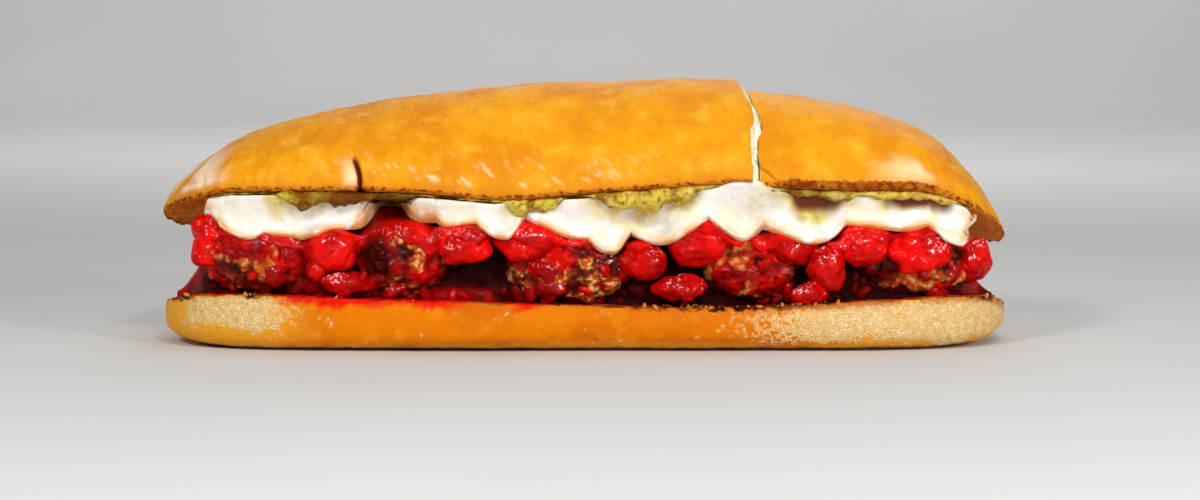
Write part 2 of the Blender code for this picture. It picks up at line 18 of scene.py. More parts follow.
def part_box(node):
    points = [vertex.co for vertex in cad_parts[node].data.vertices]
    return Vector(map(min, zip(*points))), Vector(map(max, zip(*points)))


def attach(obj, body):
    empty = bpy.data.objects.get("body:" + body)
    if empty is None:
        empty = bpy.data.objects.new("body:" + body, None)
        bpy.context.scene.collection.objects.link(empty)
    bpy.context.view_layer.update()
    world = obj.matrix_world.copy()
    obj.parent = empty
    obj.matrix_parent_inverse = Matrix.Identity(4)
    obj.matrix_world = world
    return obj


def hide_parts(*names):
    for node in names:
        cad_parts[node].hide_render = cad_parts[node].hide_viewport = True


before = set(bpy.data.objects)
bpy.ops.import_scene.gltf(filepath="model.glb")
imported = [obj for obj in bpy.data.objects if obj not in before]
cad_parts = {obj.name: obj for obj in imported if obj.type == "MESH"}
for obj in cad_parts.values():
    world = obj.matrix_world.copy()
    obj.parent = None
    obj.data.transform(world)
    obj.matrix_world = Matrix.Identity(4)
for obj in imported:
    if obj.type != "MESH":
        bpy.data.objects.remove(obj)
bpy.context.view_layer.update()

# %% [markdown]
# ## The camera and the light
# The photograph looks at the long side of the sandwich from just above the table with a long lens,
# so the camera stands low and far away. Two small bright lights, at the front left and the front,
# give the crust its sheen and make the sauce sparkle, and a third fills in from the front right.
# Wide soft ones above and behind draw the edge of the roll, and one lights only the backdrop.

# %% Camera and lights
ELEVATION = math.radians(5.0)
DISTANCE = 0.914
AIM = Vector((0.005, 0.0, 0.0288))


def placed(name, data):
    """A new object in the scene that shows the data."""
    made = bpy.data.objects.new(name, data)
    bpy.context.scene.collection.objects.link(made)
    return made


camera_data = bpy.data.cameras.new("camera")
camera_data.lens = 85.0
camera_data.sensor_width = 36.0
camera = placed("camera", camera_data)
camera.location = AIM + DISTANCE * Vector((0.0, -math.cos(ELEVATION), math.sin(ELEVATION)))
camera.rotation_euler = (math.pi / 2 - ELEVATION, 0.0, 0.0)
bpy.context.scene.camera = camera


def add_light(name, place, size, power, aim=AIM):
    data = bpy.data.lights.new(name, "AREA")
    data.shape = "RECTANGLE"
    data.size, data.size_y = size
    data.energy = power
    light = placed(name, data)
    light.location = place
    light.rotation_euler = (aim - Vector(place)).to_track_quat("-Z", "Y").to_euler()


add_light("key", (-0.42, -0.72, 0.55), (0.18, 0.13), 3.1)
add_light("second key", (0.12, -0.62, 0.52), (0.14, 0.10), 1.5)
add_light("fill", (0.60, -0.70, 0.32), (0.22, 0.16), 3.1)
add_light("top", (0.05, 0.15, 1.00), (0.90, 0.40), 1.7)
add_light("back", (0.20, 0.90, 0.60), (0.80, 0.50), 1.6)
add_light("backdrop", (0.00, 1.00, 0.90), (1.80, 0.30), 9.0, aim=Vector((0.0, 2.2, 0.1)))

world = bpy.data.worlds.new("studio")
world.use_nodes = True
sky = world.node_tree.nodes["Background"]
sky.inputs["Color"].default_value = (1.0, 0.99, 0.97, 1.0)
sky.inputs["Strength"].default_value = 0.20
bpy.context.scene.world = world
bpy.context.scene.view_settings.view_transform = "Standard"
print("camera stands", DISTANCE, "m away,", round(math.degrees(ELEVATION)), "degrees up")

# %% [markdown]
# ## Small helpers for materials
# A material is a tree of nodes. Writing each node out takes many lines, so a few short functions do
# the repeated steps. These first ones turn colours as the eye sees them on a screen, from 0 to 255,
# into light values, add a node and fill its inputs, and start a new material.

# %% Colours and nodes
def tone(red, green, blue):
    """A screen colour from 0 to 255 as linear light."""
    parts = []
    for value in (red, green, blue):
        share = value / 255.0
        parts.append(share / 12.92 if share <= 0.04045 else ((share + 0.055) / 1.055) ** 2.4)
    return (*parts, 1.0)


def grey(value):
    return (value, value, value, 1.0)


def plug(tree, value, socket):
    if isinstance(value, bpy.types.NodeSocket):
        tree.links.new(value, socket)
    else:
        socket.default_value = value


def add_node(tree, kind, inputs=None, **settings):
    made = tree.nodes.new(kind)
    for key, value in settings.items():
        setattr(made, key, value)
    for key, value in (inputs or {}).items():
        plug(tree, value, made.inputs[key])
    return made


def place_of(tree):
    """Coordinates fixed to the object, in metres."""
    return add_node(tree, "ShaderNodeTexCoord").outputs["Object"]


def stretched(tree, scale):
    """Object coordinates scaled along each axis, for grain that runs one way."""
    inputs = {"Vector": place_of(tree), "Scale": scale}
    return add_node(tree, "ShaderNodeMapping", inputs).outputs["Vector"]


def new_material(name):
    material = bpy.data.materials.new(name)
    material.use_nodes = True
    return material, material.node_tree, material.node_tree.nodes["Principled BSDF"]


print("white in light values:", tone(255, 255, 255)[:3])

# %% [markdown]
# ## Masks and mixes
# Most finishes are layers of paint: a colour, then another one over it where a mask is 1. A mask
# comes from noise, from a value that the mesh carries at its vertices, or from both, and a range of
# such a value is turned into 0 to 1. The Map Range node does that smoothly, without a hard border.

# %% Masks and mixes
def mask_of(tree, value, low, high):
    """0 below low, 1 above high and smooth between, or the reverse where low is above high."""
    flip = low > high
    inputs = {
        "Value": value,
        "From Min": high if flip else low,
        "From Max": low if flip else high,
        "To Min": 1.0 if flip else 0.0,
        "To Max": 0.0 if flip else 1.0,
    }
    made = add_node(tree, "ShaderNodeMapRange", inputs, interpolation_type="SMOOTHSTEP")
    return made.outputs["Result"]


def maths(tree, operation, *values):
    made = add_node(tree, "ShaderNodeMath", operation=operation)
    for value, socket in zip(values, made.inputs):
        plug(tree, value, socket)
    return made.outputs[0]


def mixed(tree, mask, first, second, share=None):
    """The second colour over the first where the mask is 1, as much as the share says."""
    made = add_node(tree, "ShaderNodeMix", data_type="RGBA")
    factor = mask if share is None else maths(tree, "MULTIPLY", mask, share)
    plug(tree, factor, made.inputs[0])
    plug(tree, first, made.inputs[6])
    plug(tree, second, made.inputs[7])
    return made.outputs[2]


def painted(tree, colour, *layers):
    """Layers of paint over a colour: each has a mask, a colour and, if it is thin, a share."""
    for mask, paint, *share in layers:
        colour = mixed(tree, mask, colour, paint, *share)
    return colour


def stored(tree, name):
    """A mask that the mesh carries at its vertices."""
    return add_node(tree, "ShaderNodeAttribute", attribute_name=name).outputs["Fac"]


def cloud(tree, scale, detail=2.0, vector=None):
    """Noise from 0 to 1 over the object, or over the coordinates given."""
    inputs = {"Vector": vector or place_of(tree), "Scale": scale, "Detail": detail}
    return add_node(tree, "ShaderNodeTexNoise", inputs).outputs["Fac"]


def bumped(tree, height, distance):
    inputs = {"Height": height, "Distance": distance, "Strength": 1.0}
    return add_node(tree, "ShaderNodeBump", inputs).outputs["Normal"]


print("mask, mix and noise helpers for", bpy.app.version_string)

# %% [markdown]
# ## Effects that several finishes share
# Baked surfaces have the same few effects: patches of deeper and paler colour, small open pits, and
# the bubbles of crumb. Each is a node group, built once. A material places the group and sets its
# own scale and contrast.

# %% Groups for baked surfaces
def new_group(name, inputs, outputs):
    """A node group with a Vector and named values going in, and named values coming out."""
    group = bpy.data.node_groups.new(name, "ShaderNodeTree")
    group.interface.new_socket("Vector", in_out="INPUT", socket_type="NodeSocketVector")
    for label, value in inputs.items():
        socket = group.interface.new_socket(label, in_out="INPUT", socket_type="NodeSocketFloat")
        socket.default_value = value
    for label in outputs:
        group.interface.new_socket(label, in_out="OUTPUT", socket_type="NodeSocketFloat")
    given = group.nodes.new("NodeGroupInput").outputs
    return group, given, group.nodes.new("NodeGroupOutput").inputs


def make_mottle():
    """Soft patches: Mask is 0 or 1 in large areas and passes smoothly between them."""
    inputs = {"Scale": 60.0, "Detail": 3.0, "Low": 0.4, "High": 0.6}
    group, given, out = new_group("mottle", inputs, ["Mask"])
    patches = cloud(group, given["Scale"], given["Detail"], given["Vector"])
    mask = mask_of(group, patches, 0.0, 1.0)
    plug(group, given["Low"], mask.node.inputs["From Min"])
    plug(group, given["High"], mask.node.inputs["From Max"])
    plug(group, mask, out["Mask"])
    return group


def shaken(tree, vector, scale, reach):
    """Coordinates shaken by noise, so that the walls of cells aren't straight."""
    shake = cloud(tree, scale, 2.0, vector).node.outputs["Color"]
    shift = add_node(tree, "ShaderNodeVectorMath", operation="MULTIPLY_ADD")
    for value, socket in zip((shake, (reach, reach, reach), vector), shift.inputs):
        plug(tree, value, socket)
    return shift.outputs[0]


def make_pits():
    """Open pores of bread: Height falls inside each pit and Mask is 1 there."""
    group, given, out = new_group("pits", {"Scale": 400.0, "Size": 0.35}, ["Mask", "Height"])
    where = {"Vector": shaken(group, given["Vector"], given["Scale"], 0.0016), "Scale": given["Scale"]}
    cells = add_node(group, "ShaderNodeTexVoronoi", where)
    pit = mask_of(group, cells.outputs["Distance"], 0.0, 1.0)
    plug(group, given["Size"], pit.node.inputs["From Max"])
    plug(group, maths(group, "SUBTRACT", 1.0, pit), out["Mask"])
    plug(group, pit, out["Height"])
    return group


def make_bubbles():
    """Crumb of bread seen close up: uneven bubbles, each paler or darker, with walls between."""
    group, given, out = new_group("bubbles", {"Scale": 600.0}, ["Walls", "Shade", "Height"])
    where = {"Vector": shaken(group, given["Vector"], 500.0, 0.0014), "Scale": given["Scale"]}
    cells = add_node(group, "ShaderNodeTexVoronoi", where, feature="DISTANCE_TO_EDGE")
    shades = add_node(group, "ShaderNodeTexVoronoi", where)
    plug(group, mask_of(group, cells.outputs["Distance"], 0.20, 0.02), out["Walls"])
    plug(group, shades.outputs["Color"], out["Shade"])
    plug(group, mask_of(group, cells.outputs["Distance"], 0.0, 0.30), out["Height"])
    return group


MOTTLE = make_mottle()
PITS = make_pits()
BUBBLES = make_bubbles()
print("groups for bread:", [group.name for group in bpy.data.node_groups])

# %% [markdown]
# ## Groups for wet surfaces
# Wet food isn't evenly shiny. Its skin has broad soft dents under a finer ripple, and the liquid
# gathers in clusters of small spots. One group makes the height of the skin and another the mask of
# the spots, so meat, tomato and sauce can share both.

# %% Groups for wet surfaces
def make_wet_skin():
    """The skin of something cooked and wet: broad soft dents under a finer ripple."""
    group, given, out = new_group("wet skin", {"Scale": 250.0, "Ripple": 0.4}, ["Height"])
    broad = cloud(group, given["Scale"], 2.0, given["Vector"])
    fine = cloud(group, maths(group, "MULTIPLY", given["Scale"], 4.3), 1.0, given["Vector"])
    ripple = maths(group, "MULTIPLY", fine, given["Ripple"])
    plug(group, maths(group, "ADD", broad, ripple), out["Height"])
    return group


def make_wet_spots():
    """Clusters of small spots where a film of liquid lies, for a clear coat that sparkles."""
    inputs = {"Scale": 600.0, "Cluster Scale": 140.0, "Cover": 0.5}
    group, given, out = new_group("wet spots", inputs, ["Mask"])
    small = cloud(group, given["Scale"], 1.0, given["Vector"])
    large = cloud(group, given["Cluster Scale"], 2.0, given["Vector"])
    spots = mask_of(group, small, 0.36, 0.50)
    clusters = mask_of(group, maths(group, "ADD", large, given["Cover"]), 0.98, 1.08)
    plug(group, maths(group, "MULTIPLY", spots, clusters), out["Mask"])
    return group


WET_SKIN = make_wet_skin()
WET_SPOTS = make_wet_spots()
print("all groups:", [group.name for group in bpy.data.node_groups])

# %% [markdown]
# ## Groups at work
# A material places a group, gives it coordinates and sets its values. The base of a wet finish has
# little sheen, because a sheen all over would look like haze. The sparkle comes from a clear coat
# in spots, and from pale pink highlights painted in clusters on the upper sides.

# %% Use the groups
def use_group(tree, group, **values):
    made = tree.nodes.new("ShaderNodeGroup")
    made.node_tree = group
    plug(tree, place_of(tree), made.inputs["Vector"])
    for key, value in values.items():
        plug(tree, value, made.inputs[key])
    return made


def mottle(tree, scale, low, high, detail=3.0):
    made = use_group(tree, MOTTLE, Scale=scale, Detail=detail, Low=low, High=high)
    return made.outputs["Mask"]


def wet_bump(tree, shader, scale, depth, ripple):
    skin = use_group(tree, WET_SKIN, Scale=scale, Ripple=ripple)
    plug(tree, bumped(tree, skin.outputs["Height"], depth), shader.inputs["Normal"])


def make_wet(tree, shader, cover, bump_scale, bump_depth, ripple=0.10):
    """Little sheen all over and a clear coat in spots, so wet things stay deep in colour."""
    spots = use_group(tree, WET_SPOTS, Cover=cover)
    shallow = maths(tree, "SUBTRACT", 1.0, stored(tree, "deep"))
    upper = maths(tree, "MULTIPLY_ADD", stored(tree, "upper"), 0.65, 0.15)
    film = maths(tree, "MULTIPLY", spots.outputs["Mask"], maths(tree, "MULTIPLY", shallow, upper))
    plug(tree, film, shader.inputs["Coat Weight"])
    shader.inputs["Coat Roughness"].default_value = 0.06
    shader.inputs["Specular IOR Level"].default_value = 0.07
    wet_bump(tree, shader, bump_scale, bump_depth, ripple)


def painted_highlights(tree, colour, share):
    """Painted pale pink highlights, in clusters on the upper side."""
    shallow = mask_of(tree, stored(tree, "deep"), 0.45, 0.05)
    lit = maths(tree, "MULTIPLY", stored(tree, "upper"), shallow)
    clusters = maths(tree, "MULTIPLY", mottle(tree, 150.0, 0.47, 0.57), lit)
    flecks = maths(tree, "MULTIPLY", mottle(tree, 1000.0, 0.53, 0.62, 2.0), clusters)
    # The colour of the painted highlights.
    return mixed(tree, flecks, colour, tone(255, 184, 190), share)


print("fleck and coat helpers use", WET_SKIN.name, "and", WET_SPOTS.name)

# %% [markdown]
# ## The crust of the top half
# The crust is egg-washed and baked: golden yellow with deeper orange patches, a satin sheen, fine
# wrinkles, and a thin toasted line along the cut edge. A painted picture would do it, but a mesh
# that knows how far each vertex is from the cut edge can carry the same marks at any size. The mesh
# stores that distance as "rim", in millimetres, negative on the cut face, and "open" marks the
# torn crumb of the slash.

# %% Top crust material
GOLD = tone(244, 164, 12)
DEEP_GOLD = tone(226, 134, 5)
PALE_GOLD = tone(252, 190, 52)
CRUMB = tone(255, 246, 214)
TOAST = tone(208, 106, 10)
CHAR = tone(138, 52, 8)


def make_crust_material():
    material, tree, shader = new_material("top_crust")
    rim = stored(tree, "rim")
    torn_edge = cloud(tree, 380.0, 3.0)
    open_share = maths(tree, "MULTIPLY_ADD", torn_edge, 0.9, stored(tree, "open"))
    open_crumb = mask_of(tree, open_share, 0.78, 0.92)
    crack = stored(tree, "crack")
    skin = painted(
        tree, GOLD,
        (mottle(tree, 60.0, 0.36, 0.66), DEEP_GOLD, 0.8),
        (mottle(tree, 150.0, 0.50, 0.74, 4.0), PALE_GOLD, 0.7),
        (mottle(tree, 300.0, 0.50, 0.76, 4.0), tone(220, 126, 4), 0.5),
        # Painted light: brighter at the right end, where the cut face is in shade.
        (stored(tree, "inner"), tone(254, 196, 40), 0.6),
        (stored(tree, "tip"), tone(255, 224, 190)),
        # Pale streaks on the wrinkles, a painted highlight beside the crack and a painted sheen patch
        # near the right end.
        (stored(tree, "flake"), tone(253, 228, 172)),
    )
    ragged = cloud(tree, 620.0, 3.0)
    wobble = maths(tree, "MULTIPLY_ADD", ragged, 2.0, -1.0)
    edge = maths(tree, "ADD", rim, wobble)
    near_edge = mask_of(tree, edge, 4.0, 0.4)
    skin = mixed(tree, near_edge, skin, tone(222, 136, 22), 0.6)
    toasted = mask_of(tree, maths(tree, "SUBTRACT", edge, stored(tree, "browned")), 0.9, 0.1)
    pores = use_group(tree, PITS, Scale=520.0, Size=0.42)
    under = painted(
        tree, TOAST,
        (mottle(tree, 90.0, 0.35, 0.65), tone(234, 146, 34)),
        (pores.outputs["Mask"], tone(140, 52, 5), 0.6),
        # Painted light: the cut face at the right end is brighter orange, though it is in shade.
        (stored(tree, "inner"), tone(255, 168, 60)),
        (stored(tree, "browned"), tone(122, 52, 10), 0.35),
    )
    near_rim = mask_of(tree, rim, -2.0, -0.1)
    under = mixed(tree, mottle(tree, 520.0, 0.48, 0.58, 2.0), under, CHAR, near_rim)
    skin = mixed(tree, toasted, skin, under)
    torn = mixed(tree, pores.outputs["Mask"], CRUMB, tone(250, 226, 166))
    skin = mixed(tree, open_crumb, skin, torn)
    # Painted shade in the crack and the crease.
    skin = mixed(tree, crack, skin, tone(112, 22, 8))
    plug(tree, skin, shader.inputs["Base Color"])
    rough = mixed(tree, toasted, grey(0.42), grey(0.75))
    rough = mixed(tree, open_crumb, rough, grey(0.85))
    plug(tree, rough, shader.inputs["Roughness"])
    shader.inputs["Specular IOR Level"].default_value = 0.08
    wrinkle = cloud(tree, 330.0, 4.0, stretched(tree, (1.0, 0.5, 0.35)))
    grain = cloud(tree, 900.0, 2.0)
    height = maths(tree, "ADD", wrinkle, maths(tree, "MULTIPLY", grain, 0.25))
    porous = maths(tree, "MAXIMUM", toasted, open_crumb)
    pore_height = maths(tree, "MULTIPLY", pores.outputs["Height"], porous)
    height = maths(tree, "ADD", height, maths(tree, "MULTIPLY", pore_height, 0.5))
    plug(tree, bumped(tree, height, 0.00085), shader.inputs["Normal"])
    return material


TOP_CRUST = make_crust_material()
print("made", TOP_CRUST.name)

# %% [markdown]
# ## The shape of the roll
# A roll cut along its length is best made as a loft: cross-sections at many places along X, joined
# into a skin. The sizes are those of the solid model, so the fine mesh has the form of the solid but
# many more sections. All are in metres, and the roll lies along X with its front towards minus Y.

# %% Sizes of the roll
HALF_LENGTH = 0.135
HALF_WIDTH = 0.0385
TOTAL_HEIGHT = 0.0833
BELLY_HEIGHT = 0.0095
SIDE_LEAN = 0.0012
CUT_LOW = 0.0138
CUT_LOW_X = 0.040
CUT_RISE_LEFT = 0.0054
CUT_RISE_RIGHT = 0.0058
CUT_FALL_BACK = 0.0036
LID_CENTRE = 0.0432
LID_TILT = math.radians(11.5)
LID_END_TWIST = math.radians(3.0)
LID_LEAN_BACK = 0.0055
LIP = 0.0007
LEFT_DROOP = 0.0030
RIGHT_DROOP = 0.0105
APEX_X = 0.042
# Place and reach along the roll, and depth or rise of the front edge there.
EDGE_DIP = (-0.024, 0.022, 0.0026)
EDGE_RISE = (0.048, 0.026, 0.0026)
SLASH_X = 0.0515
SLASH_SKEW = 0.11
SLASH_BEVEL = 0.0026
SLASH_GAP = 0.0005
SLASH_STEP = 0.0024
MM = 0.001
print("roll:", 2 * HALF_LENGTH, "x", 2 * HALF_WIDTH, "x", TOTAL_HEIGHT, "m")

# %% [markdown]
# ## Formulas of the roll
# The outline seen from above has long straight sides and rounded tips, and the cut face of the top
# half rises towards the front. Two small functions shape nearly everything: "ease" passes smoothly
# from 0 to 1, and "hill" is a bell curve round a place along the roll.

# %% Formulas of the roll
def ease(value):
    value = np.clip(value, 0.0, 1.0)
    return value * value * (3.0 - 2.0 * value)


def boxy(wave, power):
    """A sine or cosine drawn towards the sides of a box where the power is below 1."""
    return np.sign(wave) * np.abs(wave) ** power


def hill(x, place, reach):
    return np.exp(-((x - place) / reach) ** 2)


def hills(x, places):
    """The highest of several hills, each given by its place and reach."""
    return np.max([hill(x, *place) for place in places], axis=0)


def plan_half_width(x):
    along = np.minimum(np.abs(x) / HALF_LENGTH, 1.0)
    return HALF_WIDTH * (1.0 - along ** 6.0) ** (1.0 / 2.1)


def tip_fall(x):
    """1 along the roll, falling to 0 at its tips."""
    return (1.0 - np.minimum(np.abs(x) / HALF_LENGTH, 1.0) ** 9) ** (1.0 / 2.6)


def bottom_cut(x, y):
    left = CUT_RISE_LEFT * (np.maximum(CUT_LOW_X - x, 0.0) / (CUT_LOW_X + HALF_LENGTH)) ** 1.3
    right = CUT_RISE_RIGHT * (np.maximum(x - CUT_LOW_X, 0.0) / (HALF_LENGTH - CUT_LOW_X)) ** 1.5
    back = (y + HALF_WIDTH) / (2.0 * HALF_WIDTH)
    return CUT_LOW + left + right - CUT_FALL_BACK * back


def bread_top(x, y):
    """The cut face of the bottom half, which falls to the belly of the roll at both tips."""
    return BELLY_HEIGHT + (bottom_cut(x, y) - BELLY_HEIGHT) * tip_fall(x)


def lid_centre(x):
    left = LEFT_DROOP * ease((-x - 0.108) / (HALF_LENGTH - 0.108))
    right = RIGHT_DROOP * np.maximum((x - 0.102) / (HALF_LENGTH - 0.102), 0.0) ** 1.7
    return LID_CENTRE - left - right


def lid_tilt(x):
    return LID_TILT + LID_END_TWIST * np.abs(x / HALF_LENGTH) ** 4


def edge_wave(x):
    """The front edge of the top half dips in one place and rises in another."""
    return EDGE_RISE[2] * hill(x, *EDGE_RISE[:2]) - EDGE_DIP[2] * hill(x, *EDGE_DIP[:2])


def lid_cut(x, y):
    wave = edge_wave(x) - np.where(x > SLASH_X, 0.0012 * (1.0 - ease((x - SLASH_X) / 0.050)), 0.0)
    return lid_centre(x) - y * np.tan(lid_tilt(x)) + wave * ease(-y / HALF_WIDTH)


def lid_under(x, y):
    share = np.abs(y) / np.maximum(plan_half_width(x), 0.001)
    return lid_cut(x, y) - LIP * np.minimum(share, 1.0) ** 8


def dome_height(x):
    if x <= SLASH_X:
        along = min(max((APEX_X - x) / (APEX_X + HALF_LENGTH), 0.0), 1.0)
        return (TOTAL_HEIGHT - LID_CENTRE) * (1.0 - along ** 2.45) ** 0.5
    along = min((x - APEX_X) / (HALF_LENGTH - APEX_X), 1.0)
    return (TOTAL_HEIGHT - LID_CENTRE - SLASH_STEP) * (1.0 - along ** 2.0) ** (1.0 / 1.75)


def slow_swell(x, turn, strength):
    """Slow unevenness along the roll, the same as in the solid."""
    values = []
    for angle in turn:
        values.append(noise.noise(Vector((x * 28.0, math.cos(angle) * 1.3, math.sin(angle) * 1.3))))
    return strength * np.array(values)


def slash_skew(x, y):
    """The slash runs aslant and in a slight zigzag."""
    zigzag = 0.0009 * (ease((y + 0.030) / 0.003) - ease((y + 0.020) / 0.006))
    zigzag = zigzag - 0.0014 * ease((-0.026 - y) / 0.008)
    return (zigzag - SLASH_SKEW * y) * hill(x, SLASH_X, 0.030)


print("the lid is", round(float(dome_height(APEX_X)) / MM, 1), "mm high at its top")

# %% [markdown]
# ## Skinning cross-sections
# Each cross-section is first drawn with many points and then cut into equal steps, so the faces
# come out even. The two ends run to a point, and the skin is one closed mesh.

# %% Skin over cross-sections
def section(x, y, z):
    """Points of one cross-section, where x is one value or one for each point."""
    return np.stack(np.broadcast_arrays(x, y, z), axis=-1)


def length_along(points):
    """The length of each row of points, from its start to each point."""
    steps = np.linalg.norm(np.diff(points, axis=-2), axis=-1)
    start = np.zeros((*steps.shape[:-1], 1))
    return np.concatenate([start, np.cumsum(steps, axis=-1)], axis=-1)


def even_steps(curve, count):
    """The same curve with points at equal steps along it."""
    along = length_along(curve)
    wanted = np.linspace(0.0, along[-1], count + 1)
    return np.stack([np.interp(wanted, along, curve[:, axis]) for axis in range(3)], axis=1)


def crowded_stations(start, end, count, crowding=0.70):
    """Places along the roll from start to end, closer together towards its tips."""
    side = np.linspace(-1.0, 1.0, count + 1)
    places = HALF_LENGTH * ((1.0 - crowding) * side + crowding * np.sin(side * math.pi / 2))
    return [float(x) for x in places if start < x < end]


def build_mesh(name, vertices, faces):
    mesh = bpy.data.meshes.new(name)
    mesh.from_pydata(vertices.tolist(), [], faces)
    mesh.validate()
    bm = bmesh.new()
    bm.from_mesh(mesh)
    bmesh.ops.recalc_face_normals(bm, faces=bm.faces)
    if bm.calc_volume(signed=True) < 0.0:
        bmesh.ops.reverse_faces(bm, faces=bm.faces)
    bm.to_mesh(mesh)
    bm.free()
    mesh.shade_smooth()
    return placed(name, mesh)


def skin_rows(name, rows, tips=None):
    """One closed skin over equal rows of points, with a point at each end."""
    count, size = rows.shape[:2]
    if tips is None:
        tips = (rows[0].mean(axis=0), rows[-1].mean(axis=0))
    vertices = np.concatenate([rows.reshape(-1, 3), tips])
    faces = []
    for row in range(count - 1):
        for index in range(size):
            after = (index + 1) % size
            low = row * size
            faces.append((low + index, low + after, low + size + after, low + size + index))
    last = (count - 1) * size
    for index in range(size):
        after = (index + 1) % size
        faces.append((after, index, count * size))
        faces.append((last + index, last + after, count * size + 1))
    return build_mesh(name, vertices, faces)


print("stations from tip to tip:", len(crowded_stations(-HALF_LENGTH, HALF_LENGTH, 100)))

# %% [markdown]
# ## Points, masks and noise
# Noise pushes every vertex along its normal, which gives a skin its dents and ragged edges as real
# geometry. The same numbers are stored at the vertices as named masks, so that the finish knows
# where an edge, a ridge or a stain lies. NumPy moves all points at once, faster than a loop.

# %% Points, masks and noise
def points_of(piece):
    flat = np.empty(len(piece.data.vertices) * 3)
    piece.data.vertices.foreach_get("co", flat)
    return flat.reshape(-1, 3)


def normals_of(piece):
    flat = np.empty(len(piece.data.vertices) * 3)
    piece.data.vertex_normals.foreach_get("vector", flat)
    return flat.reshape(-1, 3)


def set_points(piece, points):
    piece.data.vertices.foreach_set("co", points.astype(np.float32).ravel())
    piece.data.update()


def store(piece, **masks):
    """Masks by name, with a value at each vertex."""
    for name, values in masks.items():
        layer = piece.data.attributes.new(name, "FLOAT", "POINT")
        layer.data.foreach_set("value", np.asarray(values, dtype=np.float32))


def noise_at(points, scale, octaves=1, seed=0.0):
    """Smooth noise between about -1 and 1 at each point; scale is in waves per metre."""
    offset = Vector((seed * 7.3, seed * 3.1, seed * 5.7))
    values = []
    for point in points:
        spot = Vector(point) * scale + offset
        values.append(noise.fractal(spot, 1.0, 2.0, octaves))
    return np.array(values)


def push(piece, amount):
    set_points(piece, points_of(piece) + normals_of(piece) * amount[:, None])


print("noise at the middle:", round(float(noise_at([(0.0, 0.0, 0.0)], 100.0, 2, 1.0)[0]), 3))

# %% [markdown]
# ## The two parts of the top half
# A slash divides the top half. The long part ends there in a bevel of pale torn crumb, and the short
# part lies a little lower. Both are the same loft with different ends. Rows that draw in towards
# their middle mesh the end face, so it carries pores like the rest.

# %% Cross-sections of the top half
DOME_STEPS = 130
LID_CUT_STEPS = 60
LID_CUT_SHARE = 0.965
DOME_BOX_ACROSS = 2.15
DOME_BOX_UP = 2.1


def lid_row(x, shrink=0.0):
    """One cross-section: the crust from back to front, then the cut face from front to back."""
    turn = np.linspace(0.0, math.pi, 181)
    width = plan_half_width(x) - shrink * 0.8
    height = dome_height(x) - shrink
    lean = LID_LEAN_BACK * height / TOTAL_HEIGHT * 2.0
    across = boxy(np.cos(turn), 2.0 / DOME_BOX_ACROSS)
    up = boxy(np.sin(turn), 2.0 / DOME_BOX_UP)
    uneven = 1.0 + slow_swell(x, turn, 0.035) * up
    y = width * across + lean * up
    z = lid_cut(x, width * across) * (1.0 - up) + lid_centre(x) * up + height * up * uneven
    dome = even_steps(section(x + slash_skew(x, y), y, z), DOME_STEPS)
    inner = width * LID_CUT_SHARE * np.linspace(-1.0, 1.0, LID_CUT_STEPS + 1)
    face = section(x + slash_skew(x, inner), inner, lid_under(x, inner))
    return np.concatenate([dome, face])


def closing_rows(row, shares):
    """Copies of the last row drawn in towards its middle, to mesh the end face."""
    middle = row.mean(axis=0)
    return [middle + (row - middle) * share for share in shares], middle


def rim_distance(rows):
    """Distance from the cut edge in millimetres along each row, negative on the cut face."""
    along = length_along(rows)
    front = along[:, DOME_STEPS:DOME_STEPS + 1]
    crust = np.minimum(along[:, :DOME_STEPS + 1], front - along[:, :DOME_STEPS + 1])
    total = along[:, -1:]
    cut = np.minimum(along[:, DOME_STEPS + 1:] - front, total - along[:, DOME_STEPS + 1:] + 0.0005)
    return np.concatenate([crust, -cut], axis=1) / MM


def make_lid_part(name, stations, shrinks, closed_side):
    rows = [lid_row(x, shrink) for x, shrink in zip(stations, shrinks)]
    marks = [0.0] * len(rows)
    end_row = rows[-1] if closed_side > 0 else rows[0]
    closing, middle = closing_rows(end_row, (0.985, 0.965, 0.94, 0.90, 0.82, 0.65, 0.4, 0.15))
    if closed_side > 0:
        marks = [min(shrink / (0.6 * MM), 1.0) for shrink in shrinks]
        rows = rows + closing
        marks += [1.0] * len(closing)
        tips = (Vector((-HALF_LENGTH, 0.0, lid_centre(-HALF_LENGTH))), middle)
    else:
        rows = closing[::-1] + rows
        marks = [1.0] * len(closing) + marks
        tips = (middle, Vector((HALF_LENGTH, 0.0, lid_centre(HALF_LENGTH))))
    rows = np.array(rows)
    piece = skin_rows(name, rows, tips)
    rim = np.append(rim_distance(rows).ravel(), [0.0, 0.0])
    crumb = np.append(np.repeat(marks, rows.shape[1]), [0.0, 0.0])
    return piece, rim, crumb


print("points in a section:", len(lid_row(0.0)))

# %% [markdown]
# ## Wrinkles, a crack and flakes
# Wrinkles gather at the front edge where the soft bread was pressed, and pale streaks lie on them.
# One short crack and one crease cut the crust. Each is a curved line between two ends, and the
# distance from it sets the depth of the cut, a painted shade in it and a painted highlight beside
# the crack. A painted sheen lies low on the front near the right end.

# %% Relief and masks of the top half
CRACK_LOW = (-0.0693, 0.0505)
CRACK_HIGH = (-0.0716, 0.0612)
CREASE_LOW = (0.0595, 0.0540)
CREASE_HIGH = (0.0528, 0.0606)


def groove(points, low, high, bend, reach):
    """1 along a short curved line on the front of the crust, given by its two ends (x, z)."""
    x, y, z = points.T
    along = (z - low[1]) / (high[1] - low[1])
    line = low[0] + (high[0] - low[0]) * along + bend * np.sin(np.clip(along, 0.0, 1.0) * math.pi)
    offset = x - line
    taper = ease((along + 0.15) / 0.2) * ease((1.1 - along) / 0.3) * (y < -0.012)
    return hill(offset, 0.0, reach) * taper, offset, taper


